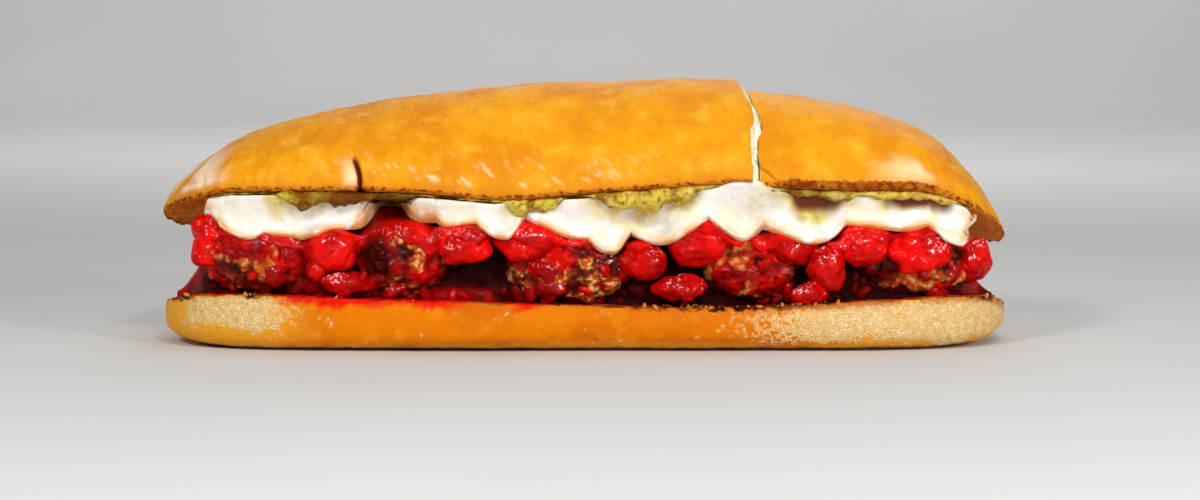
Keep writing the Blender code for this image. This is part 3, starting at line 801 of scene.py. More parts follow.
def finish_lid_part(piece, rim, crumb):
    """Push out wrinkles, dents and the ragged edge, and store the masks that the finish reads."""
    points = points_of(piece)
    x, y, z = points.T
    on_crust = ease(rim / 2.0) * (1.0 - crumb)
    dents = 0.35 * noise_at(points, 85.0, 2, 1.0) + 0.15 * noise_at(points, 300.0, 2, 2.0)
    near_front = ease((16.0 - rim) / 14.0) * (y < 0.0)
    wrinkles = noise_at(section(x, 0.5 * y, 0.30 * z), 330.0, 2, 3.0) * near_front * 0.34
    ragged = noise_at(points, 420.0, 3, 4.0) * hill(rim, 0.0, 1.6) * 0.70
    folds = noise_at(section(x, 0.2 * y, 0.12 * z), 95.0, 1, 9.0) * 0.30
    pores = noise_at(points, 620.0, 2, 5.0) * np.maximum(ease(-rim / 1.0), crumb) * 0.30
    crack, beside, span = groove(points, CRACK_LOW, CRACK_HIGH, 0.0009, 0.0009)
    crease, _, _ = groove(points, CREASE_LOW, CREASE_HIGH, -0.0010, 0.0009)
    cuts = (2.2 * crack + 0.8 * crease) * (1.0 - crumb)
    streaks = noise_at(section(x + z, y, 0.3 * (x - z)), 430.0, 2, 7.0)
    streaky = hill(x, -0.030, 0.042) * ease((rim - 1.5) / 3.0) * near_front
    ridges = ease((streaks - 0.15) / 0.45) * streaky * 0.45
    push(piece, MM * ((dents + wrinkles + folds + ridges) * on_crust + ragged + pores - cuts))
    tip = ease((-x - 0.108) / 0.012) * ease((noise_at(points, 80.0, 2, 6.0) + 0.45) / 0.5)
    # A painted highlight beside the crack.
    crack_highlight = span * ease((beside + 0.0065) / 0.004) * (beside < 0.0005) * hill(z, 0.053, 0.006)
    # A painted sheen patch low on the front near the right end.
    shine = ease((x - 0.084) / 0.020) * ease((0.118 - x) / 0.012) * hill(rim, 6.5, 4.5) * (y < 0.0)
    shine = shine * ease((noise_at(points, 90.0, 2, 8.0) + 0.4) / 0.6)
    flake = np.maximum(ease((streaks - 0.26) / 0.30) * streaky * 0.90, np.maximum(crack_highlight, shine * 0.8))
    store(
        piece,
        rim=rim,
        open=crumb,
        # Where the cut face at the right end is painted brighter, as painted light.
        inner=0.85 * ease((x - 0.095) / 0.015) * ease(-rim / 2.0),
        browned=1.7 * ease((x - 0.056) / 0.010) * ease((0.116 - x) / 0.010),
        # Painted shade in the crack and the crease.
        crack=np.maximum(ease((crack - 0.25) / 0.4), 0.6 * ease((crease - 0.5) / 0.4)),
        tip=tip * ease((rim - 0.8) / 3.0) * ease((0.072 - z) / 0.014),
        # Pale streaks, with the painted highlight beside the crack and the painted sheen patch.
        flake=np.clip(flake, 0.0, 1.0) * (1.0 - crumb),
    )


print("the crack is", round((CRACK_HIGH[1] - CRACK_LOW[1]) / MM, 1), "mm high")

# %% [markdown]
# ## Set the two parts side by side
# Stations crowd together at the crack, which would be too coarse otherwise. At the slash the last
# rows of the long part shrink, which bevels its edge, and the short part starts half a millimetre
# further on.

# %% The two parts of the top half
LID_STATIONS = 330


def make_top_left():
    stations = crowded_stations(-HALF_LENGTH, SLASH_X - SLASH_BEVEL - 0.0004, LID_STATIONS)
    stations = [x for x in stations if abs(x - CRACK_LOW[0]) > 0.0040]
    stations = sorted(stations + list(np.arange(CRACK_LOW[0] - 0.0038, CRACK_LOW[0] + 0.0038, 0.0004)))
    shrinks = [0.0] * len(stations)
    for share in (1.0, 0.8, 0.6, 0.4, 0.2, 0.0):
        stations.append(SLASH_X - SLASH_BEVEL * share)
        shrinks.append(1.3 * SLASH_STEP * (1.0 - share) ** 1.3)
    piece, rim, crumb = make_lid_part("top_left", stations, shrinks, 1)
    finish_lid_part(piece, rim, crumb)
    return piece


def make_top_right():
    start = SLASH_X + SLASH_GAP
    stations = [start] + crowded_stations(start + 0.0003, HALF_LENGTH, LID_STATIONS)
    shrinks = [0.0004 + 0.0007 * float(hill(x, start, 0.0022)) for x in stations]
    piece, rim, crumb = make_lid_part("top_right", stations, shrinks, -1)
    finish_lid_part(piece, rim, crumb)
    return piece


top_left = make_top_left()
top_right = make_top_right()
for piece in (top_left, top_right):
    piece.data.materials.append(TOP_CRUST)
    print(piece.name, len(piece.data.polygons), "faces")

# %% [markdown]
# ## The bottom half
# The lower crust is smooth and orange in the middle, where it was brushed with fat, and pale and
# crumbly at both ends. Red sauce has soaked into its upper edge, and the edge under it is browned.
# The patches are masks by place along the roll, broken up by noise.

# %% Bottom crust material
ORANGE = tone(232, 126, 2)
DEEP_ORANGE = tone(218, 112, 3)
CRUMB_PALE = tone(255, 230, 172)
SAUCE_STAIN = tone(238, 24, 6)


def make_bottom_material():
    material, tree, shader = new_material("bottom_crust")
    rim = stored(tree, "rim")
    soft_crumb = stored(tree, "crumbly")
    stain = stored(tree, "stain")
    low_edge = stored(tree, "low")
    pores = use_group(tree, BUBBLES, Scale=950.0)
    crumb_share = maths(tree, "ADD", soft_crumb, maths(tree, "MULTIPLY", pores.outputs["Shade"], 0.8))
    crumbly = mask_of(tree, crumb_share, 0.66, 1.00)
    skin = mixed(tree, mottle(tree, 45.0, 0.38, 0.64), ORANGE, DEEP_ORANGE)
    skin = mixed(tree, mottle(tree, 150.0, 0.54, 0.74), skin, tone(244, 160, 30), 0.40)
    shade = mask_of(tree, pores.outputs["Shade"], 0.10, 0.90)
    pale = mixed(tree, shade, CRUMB_PALE, tone(246, 200, 122))
    pale = mixed(tree, pores.outputs["Walls"], pale, tone(226, 152, 66), 0.30)
    skin = mixed(tree, low_edge, skin, tone(246, 176, 44))
    skin = mixed(tree, crumbly, skin, pale)
    fine = cloud(tree, 520.0, 3.0)
    wobble = maths(tree, "MULTIPLY_ADD", fine, 2.4, -1.2)
    edge = maths(tree, "ADD", rim, wobble)
    cut = mask_of(tree, edge, 0.5, -0.2)
    face = mixed(tree, mottle(tree, 150.0, 0.40, 0.62), tone(206, 126, 48), tone(140, 50, 14))
    skin = painted(
        tree, skin,
        (mask_of(tree, edge, 2.6, 0.6), tone(214, 116, 34), stored(tree, "browned")),
        (stored(tree, "base"), tone(126, 62, 14)),
        (cut, face),
    )
    charred = maths(tree, "MULTIPLY", mottle(tree, 330.0, 0.40, 0.50), mask_of(tree, edge, 1.5, 0.6))
    charred = maths(tree, "MULTIPLY", charred, stored(tree, "charred"))
    skin = mixed(tree, charred, skin, tone(48, 14, 6))
    skin = mixed(tree, stain, skin, SAUCE_STAIN)
    plug(tree, skin, shader.inputs["Base Color"])
    rough = mixed(tree, maths(tree, "MAXIMUM", crumbly, cut), grey(0.40), grey(0.80))
    rough = mixed(tree, stain, rough, grey(0.22))
    plug(tree, rough, shader.inputs["Roughness"])
    shader.inputs["Specular IOR Level"].default_value = 0.05
    grain = cloud(tree, 480.0, 4.0)
    pitted = maths(tree, "MULTIPLY", pores.outputs["Height"], maths(tree, "MAXIMUM", crumbly, cut))
    height = maths(tree, "ADD", grain, maths(tree, "MULTIPLY", pitted, 0.6))
    plug(tree, bumped(tree, height, 0.00045), shader.inputs["Normal"])
    return material


BOTTOM_CRUST = make_bottom_material()
print("made", BOTTOM_CRUST.name)

# %% [markdown]
# ## The shape of the bottom half
# The bottom half is a loft like the top: the cut face first, then the crust round the belly and
# under the roll. The distance from the cut edge is measured along each cross-section, because the
# stain, the browned edge and the crumb all start there.

# %% Shape of the bottom half
BOTTOM_STATIONS = 330
BOTTOM_SIDE_STEPS = 92
BOTTOM_CUT_STEPS = 60
BELLY_BOX_ACROSS = 4.2
BELLY_BOX_DOWN = 3.4
BELLY_FLATNESS = 1.10


def bottom_row(x):
    """The cut face from front to back, then the crust from the back edge round to the front."""
    width = plan_half_width(x)
    tip = tip_fall(x)
    y = (width - SIDE_LEAN * tip) * np.linspace(-1.0, 1.0, BOTTOM_CUT_STEPS + 1)
    face = section(x, y, bread_top(x, y))
    turn = np.linspace(0.0, math.pi, 241)
    across = boxy(np.cos(turn), 2.0 / BELLY_BOX_ACROSS)
    down = np.minimum(boxy(np.sin(turn), 2.0 / BELLY_BOX_DOWN) * BELLY_FLATNESS, 1.0)
    side_y = width * across * (1.0 + slow_swell(x, turn, 0.03))
    side_z = BELLY_HEIGHT * (1.0 - down * min(tip * 1.05, 1.0))
    side = np.concatenate([face[-1:], section(x, side_y, side_z), face[:1]])
    return np.concatenate([face, even_steps(side, BOTTOM_SIDE_STEPS)[1:-1]])


def make_bottom():
    stations = crowded_stations(-HALF_LENGTH, HALF_LENGTH, BOTTOM_STATIONS)
    rows = np.array([bottom_row(x) for x in stations])
    tips = [Vector((x, 0.0, BELLY_HEIGHT)) for x in (-HALF_LENGTH, HALF_LENGTH)]
    piece = skin_rows("bottom", rows, tips)
    along = length_along(np.concatenate([rows, rows[:, :1]], axis=1))
    back_edge = along[:, BOTTOM_CUT_STEPS:BOTTOM_CUT_STEPS + 1]
    total = along[:, -1:]
    along = along[:, :-1]
    cut = np.minimum(along, back_edge - along)
    crust = np.minimum(along - back_edge, total - along)
    on_cut = np.arange(rows.shape[1])[None, :] <= BOTTOM_CUT_STEPS
    rim = np.append(np.where(on_cut, -cut, crust).ravel() / MM, [9.0, 9.0])
    return piece, rim


bottom, bottom_rim = make_bottom()
print(bottom.name, len(bottom.data.polygons), "faces")

# %% [markdown]
# ## Relief and masks of the bottom half
# Pale crumb breaks through at both ends in uneven patches, so its mask is a range of places mixed
# with noise. The sauce has soaked in from above along some stretches, further where the noise is
# high. Nothing is pushed out where the bread lies on the table.

# %% Relief and masks of the bottom half
# Place and reach along the roll.
CHARRED_STRETCHES = ((-0.126, 0.004), (-0.104, 0.004), (0.046, 0.024), (0.127, 0.003))


def char_share(x):
    """Where along the roll the cut edge is charred."""
    return np.maximum(hills(x, CHARRED_STRETCHES), 0.05)


def dress_bottom(piece, rim):
    points = points_of(piece)
    x, y, z = points.T
    breakup = noise_at(points, 90.0, 3, 11.0)
    left = ease((x + 0.131) / 0.012) * ease((-0.080 - x) / 0.026)
    left = left * ease((z - 0.0035 + 0.003 * breakup) / 0.006)
    right = ease((x - 0.030) / 0.062) * ease((z - 0.0010 + 0.002 * breakup) / 0.003)
    right = right * (1.0 - 0.7 * hill(x, 0.092, 0.014) * ease((0.0065 - z + 0.003 * breakup) / 0.003))
    crumbly = np.maximum(0.9 * left, right) * ease((breakup + 0.95) / 0.50)
    specks = ease((noise_at(points, 640.0, 2, 12.0) - 0.48) / 0.10) * ease((breakup - 0.15) / 0.2) * 0.8
    crumbly = np.clip(np.maximum(crumbly, specks) * (rim > 0.0), 0.0, 1.0)
    ragged = noise_at(points, 400.0, 3, 13.0)
    off_floor = ease((z - 0.0002) / 0.0012)
    relief = 0.28 * noise_at(points, 95.0, 2, 14.0) + 0.08 * noise_at(points, 350.0, 2, 15.0)
    relief += 0.42 * noise_at(points, 480.0, 2, 16.0) * crumbly
    relief += 0.70 * ragged * hill(rim, 0.0, 1.5)
    relief += 0.35 * noise_at(points, 500.0, 2, 17.0) * (rim < 0.0)
    push(piece, MM * relief * off_floor)
    soaked = ease((x + 0.099) / 0.010) * ease((-0.030 - x) / 0.016)
    soaked = np.maximum(soaked, hill(x, -0.017, 0.006))
    soaked = soaked * (y < 0.0) + ease((np.sin(x * 90.0) - 0.2) / 0.6) * (y > 0.0)
    reach = 2.6 + 2.0 * (breakup + 0.3) + 1.2 * ragged
    stain = soaked * ease((reach - rim) / 2.0)
    inside = ease((-rim - 2.0) / 3.0) * ease((noise_at(points, 130.0, 2, 18.0) + 0.45) / 0.3)
    brown = ease((0.0042 - z) / 0.0030) * ease((noise_at(points, 110.0, 2, 19.0) + 0.8) / 0.9)
    ends = ease((np.abs(x + 0.006) - 0.070) / 0.030)
    store(
        piece,
        rim=rim,
        crumbly=crumbly,
        stain=np.clip(np.maximum(stain, inside), 0.0, 1.0),
        low=np.clip(np.maximum(brown * (0.75 + 0.2 * ends), ends * 0.85), 0.0, 1.0),
        base=ease((0.0017 - z + 0.0006 * ragged) / 0.0010) * 0.9,
        charred=char_share(x),
        browned=0.8 * ease((x - 0.030) / 0.030) * ease((breakup + 0.7) / 0.6),
    )


dress_bottom(bottom, bottom_rim)
bottom.data.materials.append(BOTTOM_CRUST)
print("masks of the bottom half:", len(bottom.data.attributes))

# %% [markdown]
# ## Meatballs
# A meatball is minced meat pressed by hand: a ball of small grains with cracks between them,
# browned on the ridges and red with sauce in the hollows. A sphere with noise alone looks like
# stone, so the noise of cells (Voronoi) adds the grains. The height of each vertex is stored as
# "ridge", and the material uses it to put brown on top, sauce below and painted shade in the
# deepest cracks.

# %% Meat material
MEAT = tone(122, 28, 8)
MEAT_BROWN = tone(198, 82, 18)
MEAT_TAN = tone(248, 190, 112)
SAUCE_RED = tone(206, 10, 4)
# Painted shade for places deep inside the roll.
DEEP_SHADE = tone(40, 2, 1)


def make_meat_material():
    material, tree, shader = new_material("meat")
    ridge = stored(tree, "ridge")
    meat = mixed(tree, mottle(tree, 190.0, 0.38, 0.62), MEAT, tone(84, 16, 6))
    meat = mixed(tree, mask_of(tree, ridge, 0.25, 0.75), meat, MEAT_BROWN)
    fleck = maths(tree, "MULTIPLY", mottle(tree, 560.0, 0.48, 0.58), mask_of(tree, ridge, 0.34, 0.62))
    meat = mixed(tree, fleck, meat, MEAT_TAN, stored(tree, "tan"))
    wet = mixed(tree, mottle(tree, 150.0, 0.38, 0.64), SAUCE_RED, tone(138, 5, 3))
    grain = cloud(tree, 300.0, 3.0)
    cover = maths(tree, "ADD", stored(tree, "glaze"), maths(tree, "MULTIPLY", grain, 0.35))
    cover = maths(tree, "SUBTRACT", cover, maths(tree, "MULTIPLY", ridge, 0.40))
    covered = mask_of(tree, cover, 0.38, 0.56)
    colour = painted(
        tree, meat,
        (covered, wet),
        # Painted shade in the deepest cracks between the grains.
        (mask_of(tree, ridge, 0.30, 0.04), tone(54, 5, 3)),
        # Painted shade deep inside the roll.
        (stored(tree, "deep"), DEEP_SHADE),
    )
    plug(tree, colour, shader.inputs["Base Color"])
    rough = mixed(tree, covered, grey(0.30), grey(0.14))
    plug(tree, rough, shader.inputs["Roughness"])
    make_wet(tree, shader, 0.49, 480.0, 0.00045)
    return material


MEAT_FINISH = make_meat_material()
print("made", MEAT_FINISH.name)

# %% [markdown]
# ## Lumps and grains
# Meatballs and tomato pieces start as the same ball of even triangles (an icosphere), which has no
# poles where a pattern would pinch. Drawn out towards a box it becomes a piece of tomato.

# %% Lumps and grains
def round_lump(name, subdivisions):
    bm = bmesh.new()
    bmesh.ops.create_icosphere(bm, subdivisions=subdivisions, radius=1.0)
    mesh = bpy.data.meshes.new(name)
    bm.to_mesh(mesh)
    bm.free()
    mesh.shade_smooth()
    return placed(name, mesh)


def boxy_lump(sphere, power):
    """A unit ball drawn out towards a box; a power of 2 leaves it round."""
    return sphere / (np.sum(np.abs(sphere) ** power, axis=1) ** (1.0 / power))[:, None]


def cell_heights(points, scale, seed):
    """Rounded grains: 1 in the middle of a cell and 0 in the crack between two cells."""
    offset = Vector((seed * 2.9, seed * 4.3, seed * 1.7))
    values = []
    for point in points:
        distances = noise.voronoi(Vector(point) * scale + offset)[0]
        values.append(min(distances[1] - distances[0], 0.6) / 0.6)
    return np.sqrt(np.array(values))


print("grain at a corner:", round(float(cell_heights([(0.0, 0.0, 0.0)], 240.0, 1.0)[0]), 3))

# %% [markdown]
# ## Depth in the roll
# The dark gaps between the pieces make the filling look deep. Little light comes there, and a
# material can't know that, so each vertex stores how far inside the roll it lies, and the finishes
# paint shade there. Sauce wells up red in some places, and three small hollows at the front are
# painted dark as shade all the same.

# %% Depth in the roll
SAUCY_X = -0.0790
BARE_X = -0.0610
# Place along the roll and height of each hollow painted dark as shade, and its reach both ways.
SHADED_HOLLOWS = (
    (-0.0645, 0.0290, 0.0062, 0.0085),
    (0.0150, 0.0190, 0.0040, 0.0050),
    (0.0945, 0.0262, 0.0050, 0.0036),
)


def store_depth(piece, share=1.0):
    """How far inside the roll each vertex lies, and how far it faces up or outwards."""
    x, y, z = points_of(piece).T
    normals = normals_of(piece)
    upper = ease((0.55 * np.abs(normals[:, 1]) + 0.85 * normals[:, 2] - 0.45) / 0.35)
    sideways = plan_half_width(x) - np.abs(y)
    depth = np.minimum(sideways, 0.6 * (HALF_LENGTH - np.abs(x))) / MM
    bare = 0.4 * hill(x, BARE_X, 0.011) * ease((z - 0.030) / 0.006)
    pool = 0.8 * hill(x, -0.055, 0.024) * ease((0.0205 - z) / 0.003)
    welling = np.maximum(np.maximum(0.6 * hill(x, SAUCY_X, 0.009), bare), pool)
    share = share * (1.0 - welling * (y < 0.0))
    hole = np.zeros(len(x))
    for place_x, place_z, reach_x, reach_z in SHADED_HOLLOWS:
        hole = np.maximum(hole, hill(x, place_x, reach_x) * hill(z, place_z, reach_z))
    hole = ease(1.5 * hole - 0.2) * (y < 0.0)
    # The finishes paint shade where this is high.
    deep = np.maximum(share * ease((depth - 5.5) / 6.0), 0.92 * hole)
    store(piece, upper=upper, deep=deep)


print("hollows:", len(SHADED_HOLLOWS))

# %% [markdown]
# ## Shape the meatballs
# Each ball fills the box of its solid. Slow noise dents it, finer noise and the grains roughen it,
# and how far each vertex comes out is stored as "ridge". Its share of sauce differs from ball to
# ball: more on top, and more on one side.

# %% Meatballs
def make_meatball(node, seed):
    low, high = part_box(node)
    middle = np.array((low + high) / 2)
    radii = np.array((high - low) / 2)
    piece = round_lump("visual_" + node, 6)
    sphere = points_of(piece)
    points = middle + boxy_lump(sphere, 2.5) * radii * 0.975
    shape = 1.0 * noise_at(points, 75.0, 2, seed)
    shape += 0.90 * noise_at(points, 200.0, 2, seed + 0.5)
    grains = cell_heights(points, 240.0, seed)
    shape += 0.80 * (grains - 0.6) + 0.50 * noise_at(points, 560.0, 2, seed + 0.7)
    set_points(piece, points + sphere * (MM * (shape[:, None] - 0.3)))
    store(piece, ridge=np.clip(shape * 0.36 + 0.46, 0.0, 1.0))
    store_depth(piece)
    return piece, sphere


# Share of sauce, how much more on top, how much more to the left, and share of tan flecks.
BALL_LOOKS = {
    "meatball_front_1": (0.56, 0.20, 0.05, 0.50),
    "meatball_front_2": (0.50, 0.30, -0.15, 0.70),
    "meatball_front_3": (0.36, 0.30, 0.40, 1.00),
    "meatball_front_4": (0.52, 0.10, 0.10, 0.35),
    "meatball_front_5": (0.50, 0.30, 0.10, 0.45),
}


def make_meatballs():
    """Each ball has its own share of sauce, more on top and on one side, and of tan flecks."""
    made = {}
    names = sorted(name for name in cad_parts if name.startswith("meatball"))
    for index, name in enumerate(names):
        piece, sphere = make_meatball(name, index + 1.0)
        base, upper, leftward, tan = BALL_LOOKS.get(name, (0.50, 0.30, 0.0, 0.6))
        patches = 0.55 * noise_at(points_of(piece), 95.0, 2, index + 61.0)
        glaze = base + upper * sphere[:, 2] - leftward * sphere[:, 0] + patches
        store(piece, glaze=np.clip(glaze, 0.0, 1.0), tan=np.full(len(sphere), tan))
        piece.data.materials.append(MEAT_FINISH)
        made[name] = piece
    return made


meatballs = make_meatballs()
print("meatballs:", len(meatballs))

# %% [markdown]
# ## Tomato pieces
# Diced tomato keeps rounded corners when it cooks. Each piece is a ball drawn out towards a box,
# and dented by slow noise. The finish is a bright red, some pieces darker at random and all painted
# darker low in the roll as shade, with painted pale pink highlights on the upper side and a clear
# coat in spots, whose fine ripple breaks the light into small sparks.

# %% Tomato material and pieces
def make_tomato_material():
    material, tree, shader = new_material("tomato")
    flesh = painted(
        tree, tone(246, 12, 6),
        (mottle(tree, 110.0, 0.35, 0.65), tone(192, 7, 5)),
        (mottle(tree, 300.0, 0.60, 0.76), tone(250, 84, 30), 0.40),
        # Painted shade low in the roll, and some pieces darker at random.
        (stored(tree, "stewed"), tone(148, 5, 4)),
        # Painted shade deep inside the roll.
        (stored(tree, "deep"), DEEP_SHADE),
    )
    # Painted pale pink highlights on the upper side.
    flesh = painted_highlights(tree, flesh, 0.85)
    plug(tree, flesh, shader.inputs["Base Color"])
    shader.inputs["Roughness"].default_value = 0.12
    make_wet(tree, shader, 0.57, 380.0, 0.00050, 0.20)
    return material


TOMATO = make_tomato_material()
TOMATO_SINK = 0.0022


def make_tomato(node, seed):
    low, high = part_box(node)
    inward = -1.0 if low.y + high.y > 0.0 else 1.0
    middle = np.array((low + high) / 2) + np.array([0.0, inward * TOMATO_SINK / 2, 0.0])
    radii = np.array((high - low) / 2) + np.array([0.0006, TOMATO_SINK / 2, 0.0004])
    piece = round_lump("visual_" + node, 5)
    sphere = points_of(piece)
    points = middle + boxy_lump(sphere, 2.2 + 0.3 * math.sin(seed * 2.3)) * radii * 0.95
    dents = 1.8 * noise_at(points, 105.0, 2, seed) + 0.60 * noise_at(points, 260.0, 2, seed + 0.4)
    dents += 0.7 * (cell_heights(points, 130.0, seed) - 0.6)
    set_points(piece, points + sphere * (MM * dents[:, None]))
    lower = ease((0.031 - middle[2] - 0.004 * sphere[:, 2]) / 0.010)
    # Darker low in the roll and on the lower side as painted shade, plus a random share for each piece.
    store(piece, stewed=np.clip(0.55 * lower + 0.20 * math.sin(seed * 5.1), 0.0, 0.8))
    store_depth(piece)
    piece.data.materials.append(TOMATO)
    return piece


tomatoes = {}
for index, name in enumerate(sorted(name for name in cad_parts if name.startswith("tomato"))):
    tomatoes[name] = make_tomato(name, index + 31.0)
print("tomato pieces:", len(tomatoes))

# %% [markdown]
# ## The sauce
# Between the meatballs lies thick sauce full of small soft lumps. It is one body that runs through
# the roll, and the same finish in three depths of red colours the body, the loose bits and the thin
# film that lies over tomato and meat; the body's darker red is painted shade. Deep inside, painted
# shade turns it dark, and it loses its sheen.

# %% Sauce material
def make_sauce_material(name, bright, deep):
    material, tree, shader = new_material(name)
    colour = mixed(tree, mottle(tree, 130.0, 0.38, 0.60), bright, deep)
    # Painted shade deep inside the roll.
    colour = mixed(tree, stored(tree, "deep"), colour, DEEP_SHADE)
    # Painted pale pink highlights on the upper side, thinner than on tomato.
    plug(tree, painted_highlights(tree, colour, 0.32), shader.inputs["Base Color"])
    rough = maths(tree, "MULTIPLY_ADD", stored(tree, "deep"), 0.55, 0.12)
    plug(tree, rough, shader.inputs["Roughness"])
    make_wet(tree, shader, 0.57, 380.0, 0.00050, 0.20)
    return material


# The body is the darker copy of the sauce finish: painted shade.
SAUCE = make_sauce_material("sauce", tone(190, 7, 4), tone(104, 3, 3))
SAUCE_LUMP = make_sauce_material("sauce_lump", tone(222, 10, 5), tone(152, 5, 3))
SAUCE_FILM = make_sauce_material("sauce_film", tone(240, 12, 6), tone(186, 7, 4))
print("made", SAUCE.name, SAUCE_LUMP.name, SAUCE_FILM.name)

# %% [markdown]
# ## The body of the sauce
# The body is made by the same loft as the solid but without the pockets, since the meatballs sink
# into it. Strong noise makes it lumpy where it is free of the bread.

# %% Sauce body
SAUCE_HALF_LENGTH = 0.131
SAUCE_HALF_WIDTH = 0.0262
SAUCE_UNDER_LID = 0.0092
SAUCE_STATIONS = 230
SAUCE_LOOP = 74
SAUCE_BOX = 0.45


def sauce_row(x):
    end = ease((SAUCE_HALF_LENGTH - abs(x)) / 0.016)
    width = SAUCE_HALF_WIDTH * plan_half_width(x) / HALF_WIDTH * (0.35 + 0.65 * end)
    turn = np.linspace(0.0, math.pi, 121)
    y = width * boxy(np.cos(turn), SAUCE_BOX)
    low = bread_top(x, y) + 0.0002
    bare = 0.0070 * float(hill(x, BARE_X, 0.010))
    high = lid_cut(x, y) - SAUCE_UNDER_LID + bare
    z = low + (high - low) * (0.10 + 0.90 * end) * boxy(np.sin(turn), SAUCE_BOX)
    over = section(x, y, z)
    under = over[::-30].copy()
    under[:, 2] = bread_top(x, under[:, 1]) - 0.0004
    return np.concatenate([even_steps(over, SAUCE_LOOP), under])


def make_sauce():
    stations = np.linspace(-SAUCE_HALF_LENGTH, SAUCE_HALF_LENGTH, SAUCE_STATIONS + 1)
    rows = np.array([sauce_row(x) for x in stations])
    piece = skin_rows("sauce", rows)
    points = points_of(piece)
    x, y, z = points.T
    free = ease((z - bread_top(x, y)) / 0.002)
    lumps = 1.5 * noise_at(points, 120.0, 3, 41.0) + 1.1 * (cell_heights(points, 200.0, 42.0) - 0.5)
    push(piece, MM * lumps * free * ease((SAUCE_HALF_LENGTH - np.abs(x)) / 0.020))
    store_depth(piece)
    piece.data.materials.append(SAUCE)
    return piece


sauce = make_sauce()
print("sauce:", len(sauce.data.polygons), "faces")

# %% [markdown]
# ## Melted mozzarella
# Melted cheese drapes: it lies on whatever is under it, bridges the hollows, and hangs down in lobes
# with thick round rims. Instead of a simulation, rays are shot inwards from all round to feel the
# surface of the filling. The felt shape is smoothed, because cheese is stiff, and the cheese skin is
# laid on it. Its thickness grows from nothing at the edge to a round rim, like a drop.

# %% Cheese sizes
# Place along the roll, reach to the left and to the right, and height of the lower edge.
FRONT_LOBES = (
    (-0.0900, 0.0270, 0.0250, 0.0385),
    (-0.1045, 0.0120, 0.0070, 0.0358),
    (-0.0860, 0.0080, 0.0120, 0.0366),
    (-0.0415, 0.0045, 0.0130, 0.0408),
    (-0.0240, 0.0110, 0.0055, 0.0358),
    (0.0000, 0.0190, 0.0170, 0.0372),
    (0.0090, 0.0110, 0.0060, 0.0314),
    (0.0240, 0.0110, 0.0150, 0.0345),
    (0.0485, 0.0100, 0.0080, 0.0372),
    (0.0715, 0.0170, 0.0110, 0.0345),
    (0.0980, 0.0210, 0.0240, 0.0395),
    (0.1170, 0.0120, 0.0045, 0.0325),
)
CHEESE_LEFT = -0.1190
CHEESE_RIGHT = 0.1220
CHEESE_AXIS_Z = 0.0200
CHEESE_REST_Z = 0.0455
BACK_LOBE_COUNT = 8
BACK_LOBE_Z = 0.0245
BACK_REST_Z = 0.0325
CHEESE_STEP = 0.0008
CHEESE_ACROSS = 150
RAY_LENGTH = 0.075
FEEL_ANGLES = np.radians(np.linspace(-100.0, 100.0, 161))


def lobe_bottom(x, lobes, rest):
    """Lower edge of the cheese: the lowest of its lobes, each leaning to one side."""
    lowest = rest
    for place, left_reach, right_reach, height in lobes:
        along = (place - x) / left_reach if x < place else (x - place) / right_reach
        if along < 1.0:
            lowest = min(lowest, rest - (rest - height) * (1.0 - along ** 1.9) ** 0.8)
    return lowest


def back_lobes():
    lobes = []
    for index in range(BACK_LOBE_COUNT):
        share = (index + 0.5) / BACK_LOBE_COUNT
        place = CHEESE_LEFT + (CHEESE_RIGHT - CHEESE_LEFT) * share + 0.004 * math.sin(3.1 * index)
        height = BACK_LOBE_Z + 0.0035 * math.sin(2.3 * index)
        reach = 0.013 + 0.003 * math.sin(1.7 * index)
        lobes.append((place, reach, reach, height))
    return lobes


BACK_LOBES = back_lobes()
cheese_x = np.arange(CHEESE_LEFT, CHEESE_RIGHT + CHEESE_STEP / 2, CHEESE_STEP)
print("cheese sections:", len(cheese_x))

# %% [markdown]
# ## Feel the filling
# From an axis through the middle of the filling, rays are shot inwards from all round, at every
# section and angle. How far the filling reaches goes into a grid, which is widened, so that the
# cheese bridges narrow gaps, and blurred, because cheese is stiff.

# %% Feel the filling with rays
def join_tree(pieces):
    vertices = []
    faces = []
    for piece in pieces:
        start = len(vertices)
        vertices += [tuple(point) for point in points_of(piece)]
        faces += [tuple(start + index for index in face.vertices) for face in piece.data.polygons]
    return BVHTree.FromPolygons(vertices, faces)


def feel_filling():
    """How far the filling reaches from the axis, for every section and angle."""
    tree = join_tree([*meatballs.values(), *tomatoes.values(), sauce])
    far = RAY_LENGTH
    reach = np.zeros((len(cheese_x), len(FEEL_ANGLES)))
    for i, x in enumerate(cheese_x):
        for j, angle in enumerate(FEEL_ANGLES):
            out = Vector((0.0, -math.sin(angle), math.cos(angle)))
            hit = tree.ray_cast(Vector((x, 0.0, CHEESE_AXIS_Z)) + out * far, -out, far)
            if hit[0] is not None:
                reach[i, j] = far - hit[3]
    return reach


def blurred(grid, along, across):
    """Smooth a grid by a bell curve of the given reach, in cells."""
    for axis, reach in ((0, along), (1, across)):
        size = int(3 * reach)
        weights = np.exp(-0.5 * (np.arange(-size, size + 1) / reach) ** 2)
        weights /= weights.sum()
        padding = [(0, 0), (0, 0)]
        padding[axis] = (size, size)
        padded = np.pad(grid, padding, mode="edge")
        grid = np.apply_along_axis(np.convolve, axis, padded, weights, mode="valid")
    return grid


def widened(grid, cells):
    """The highest value within a few cells, so that the cheese bridges narrow hollows."""
    result = grid.copy()
    for axis in (0, 1):
        base = result.copy()
        for shift in range(1, cells + 1):
            for way in (-shift, shift):
                result = np.maximum(result, np.roll(base, way, axis=axis))
    return result


felt = feel_filling()
draped = blurred(widened(felt, 3), 3.0, 2.5)
draped = np.maximum(draped, blurred(felt, 1.2, 1.0))
print("filling reaches", round(float(felt.max()) / MM, 1), "mm from the axis")

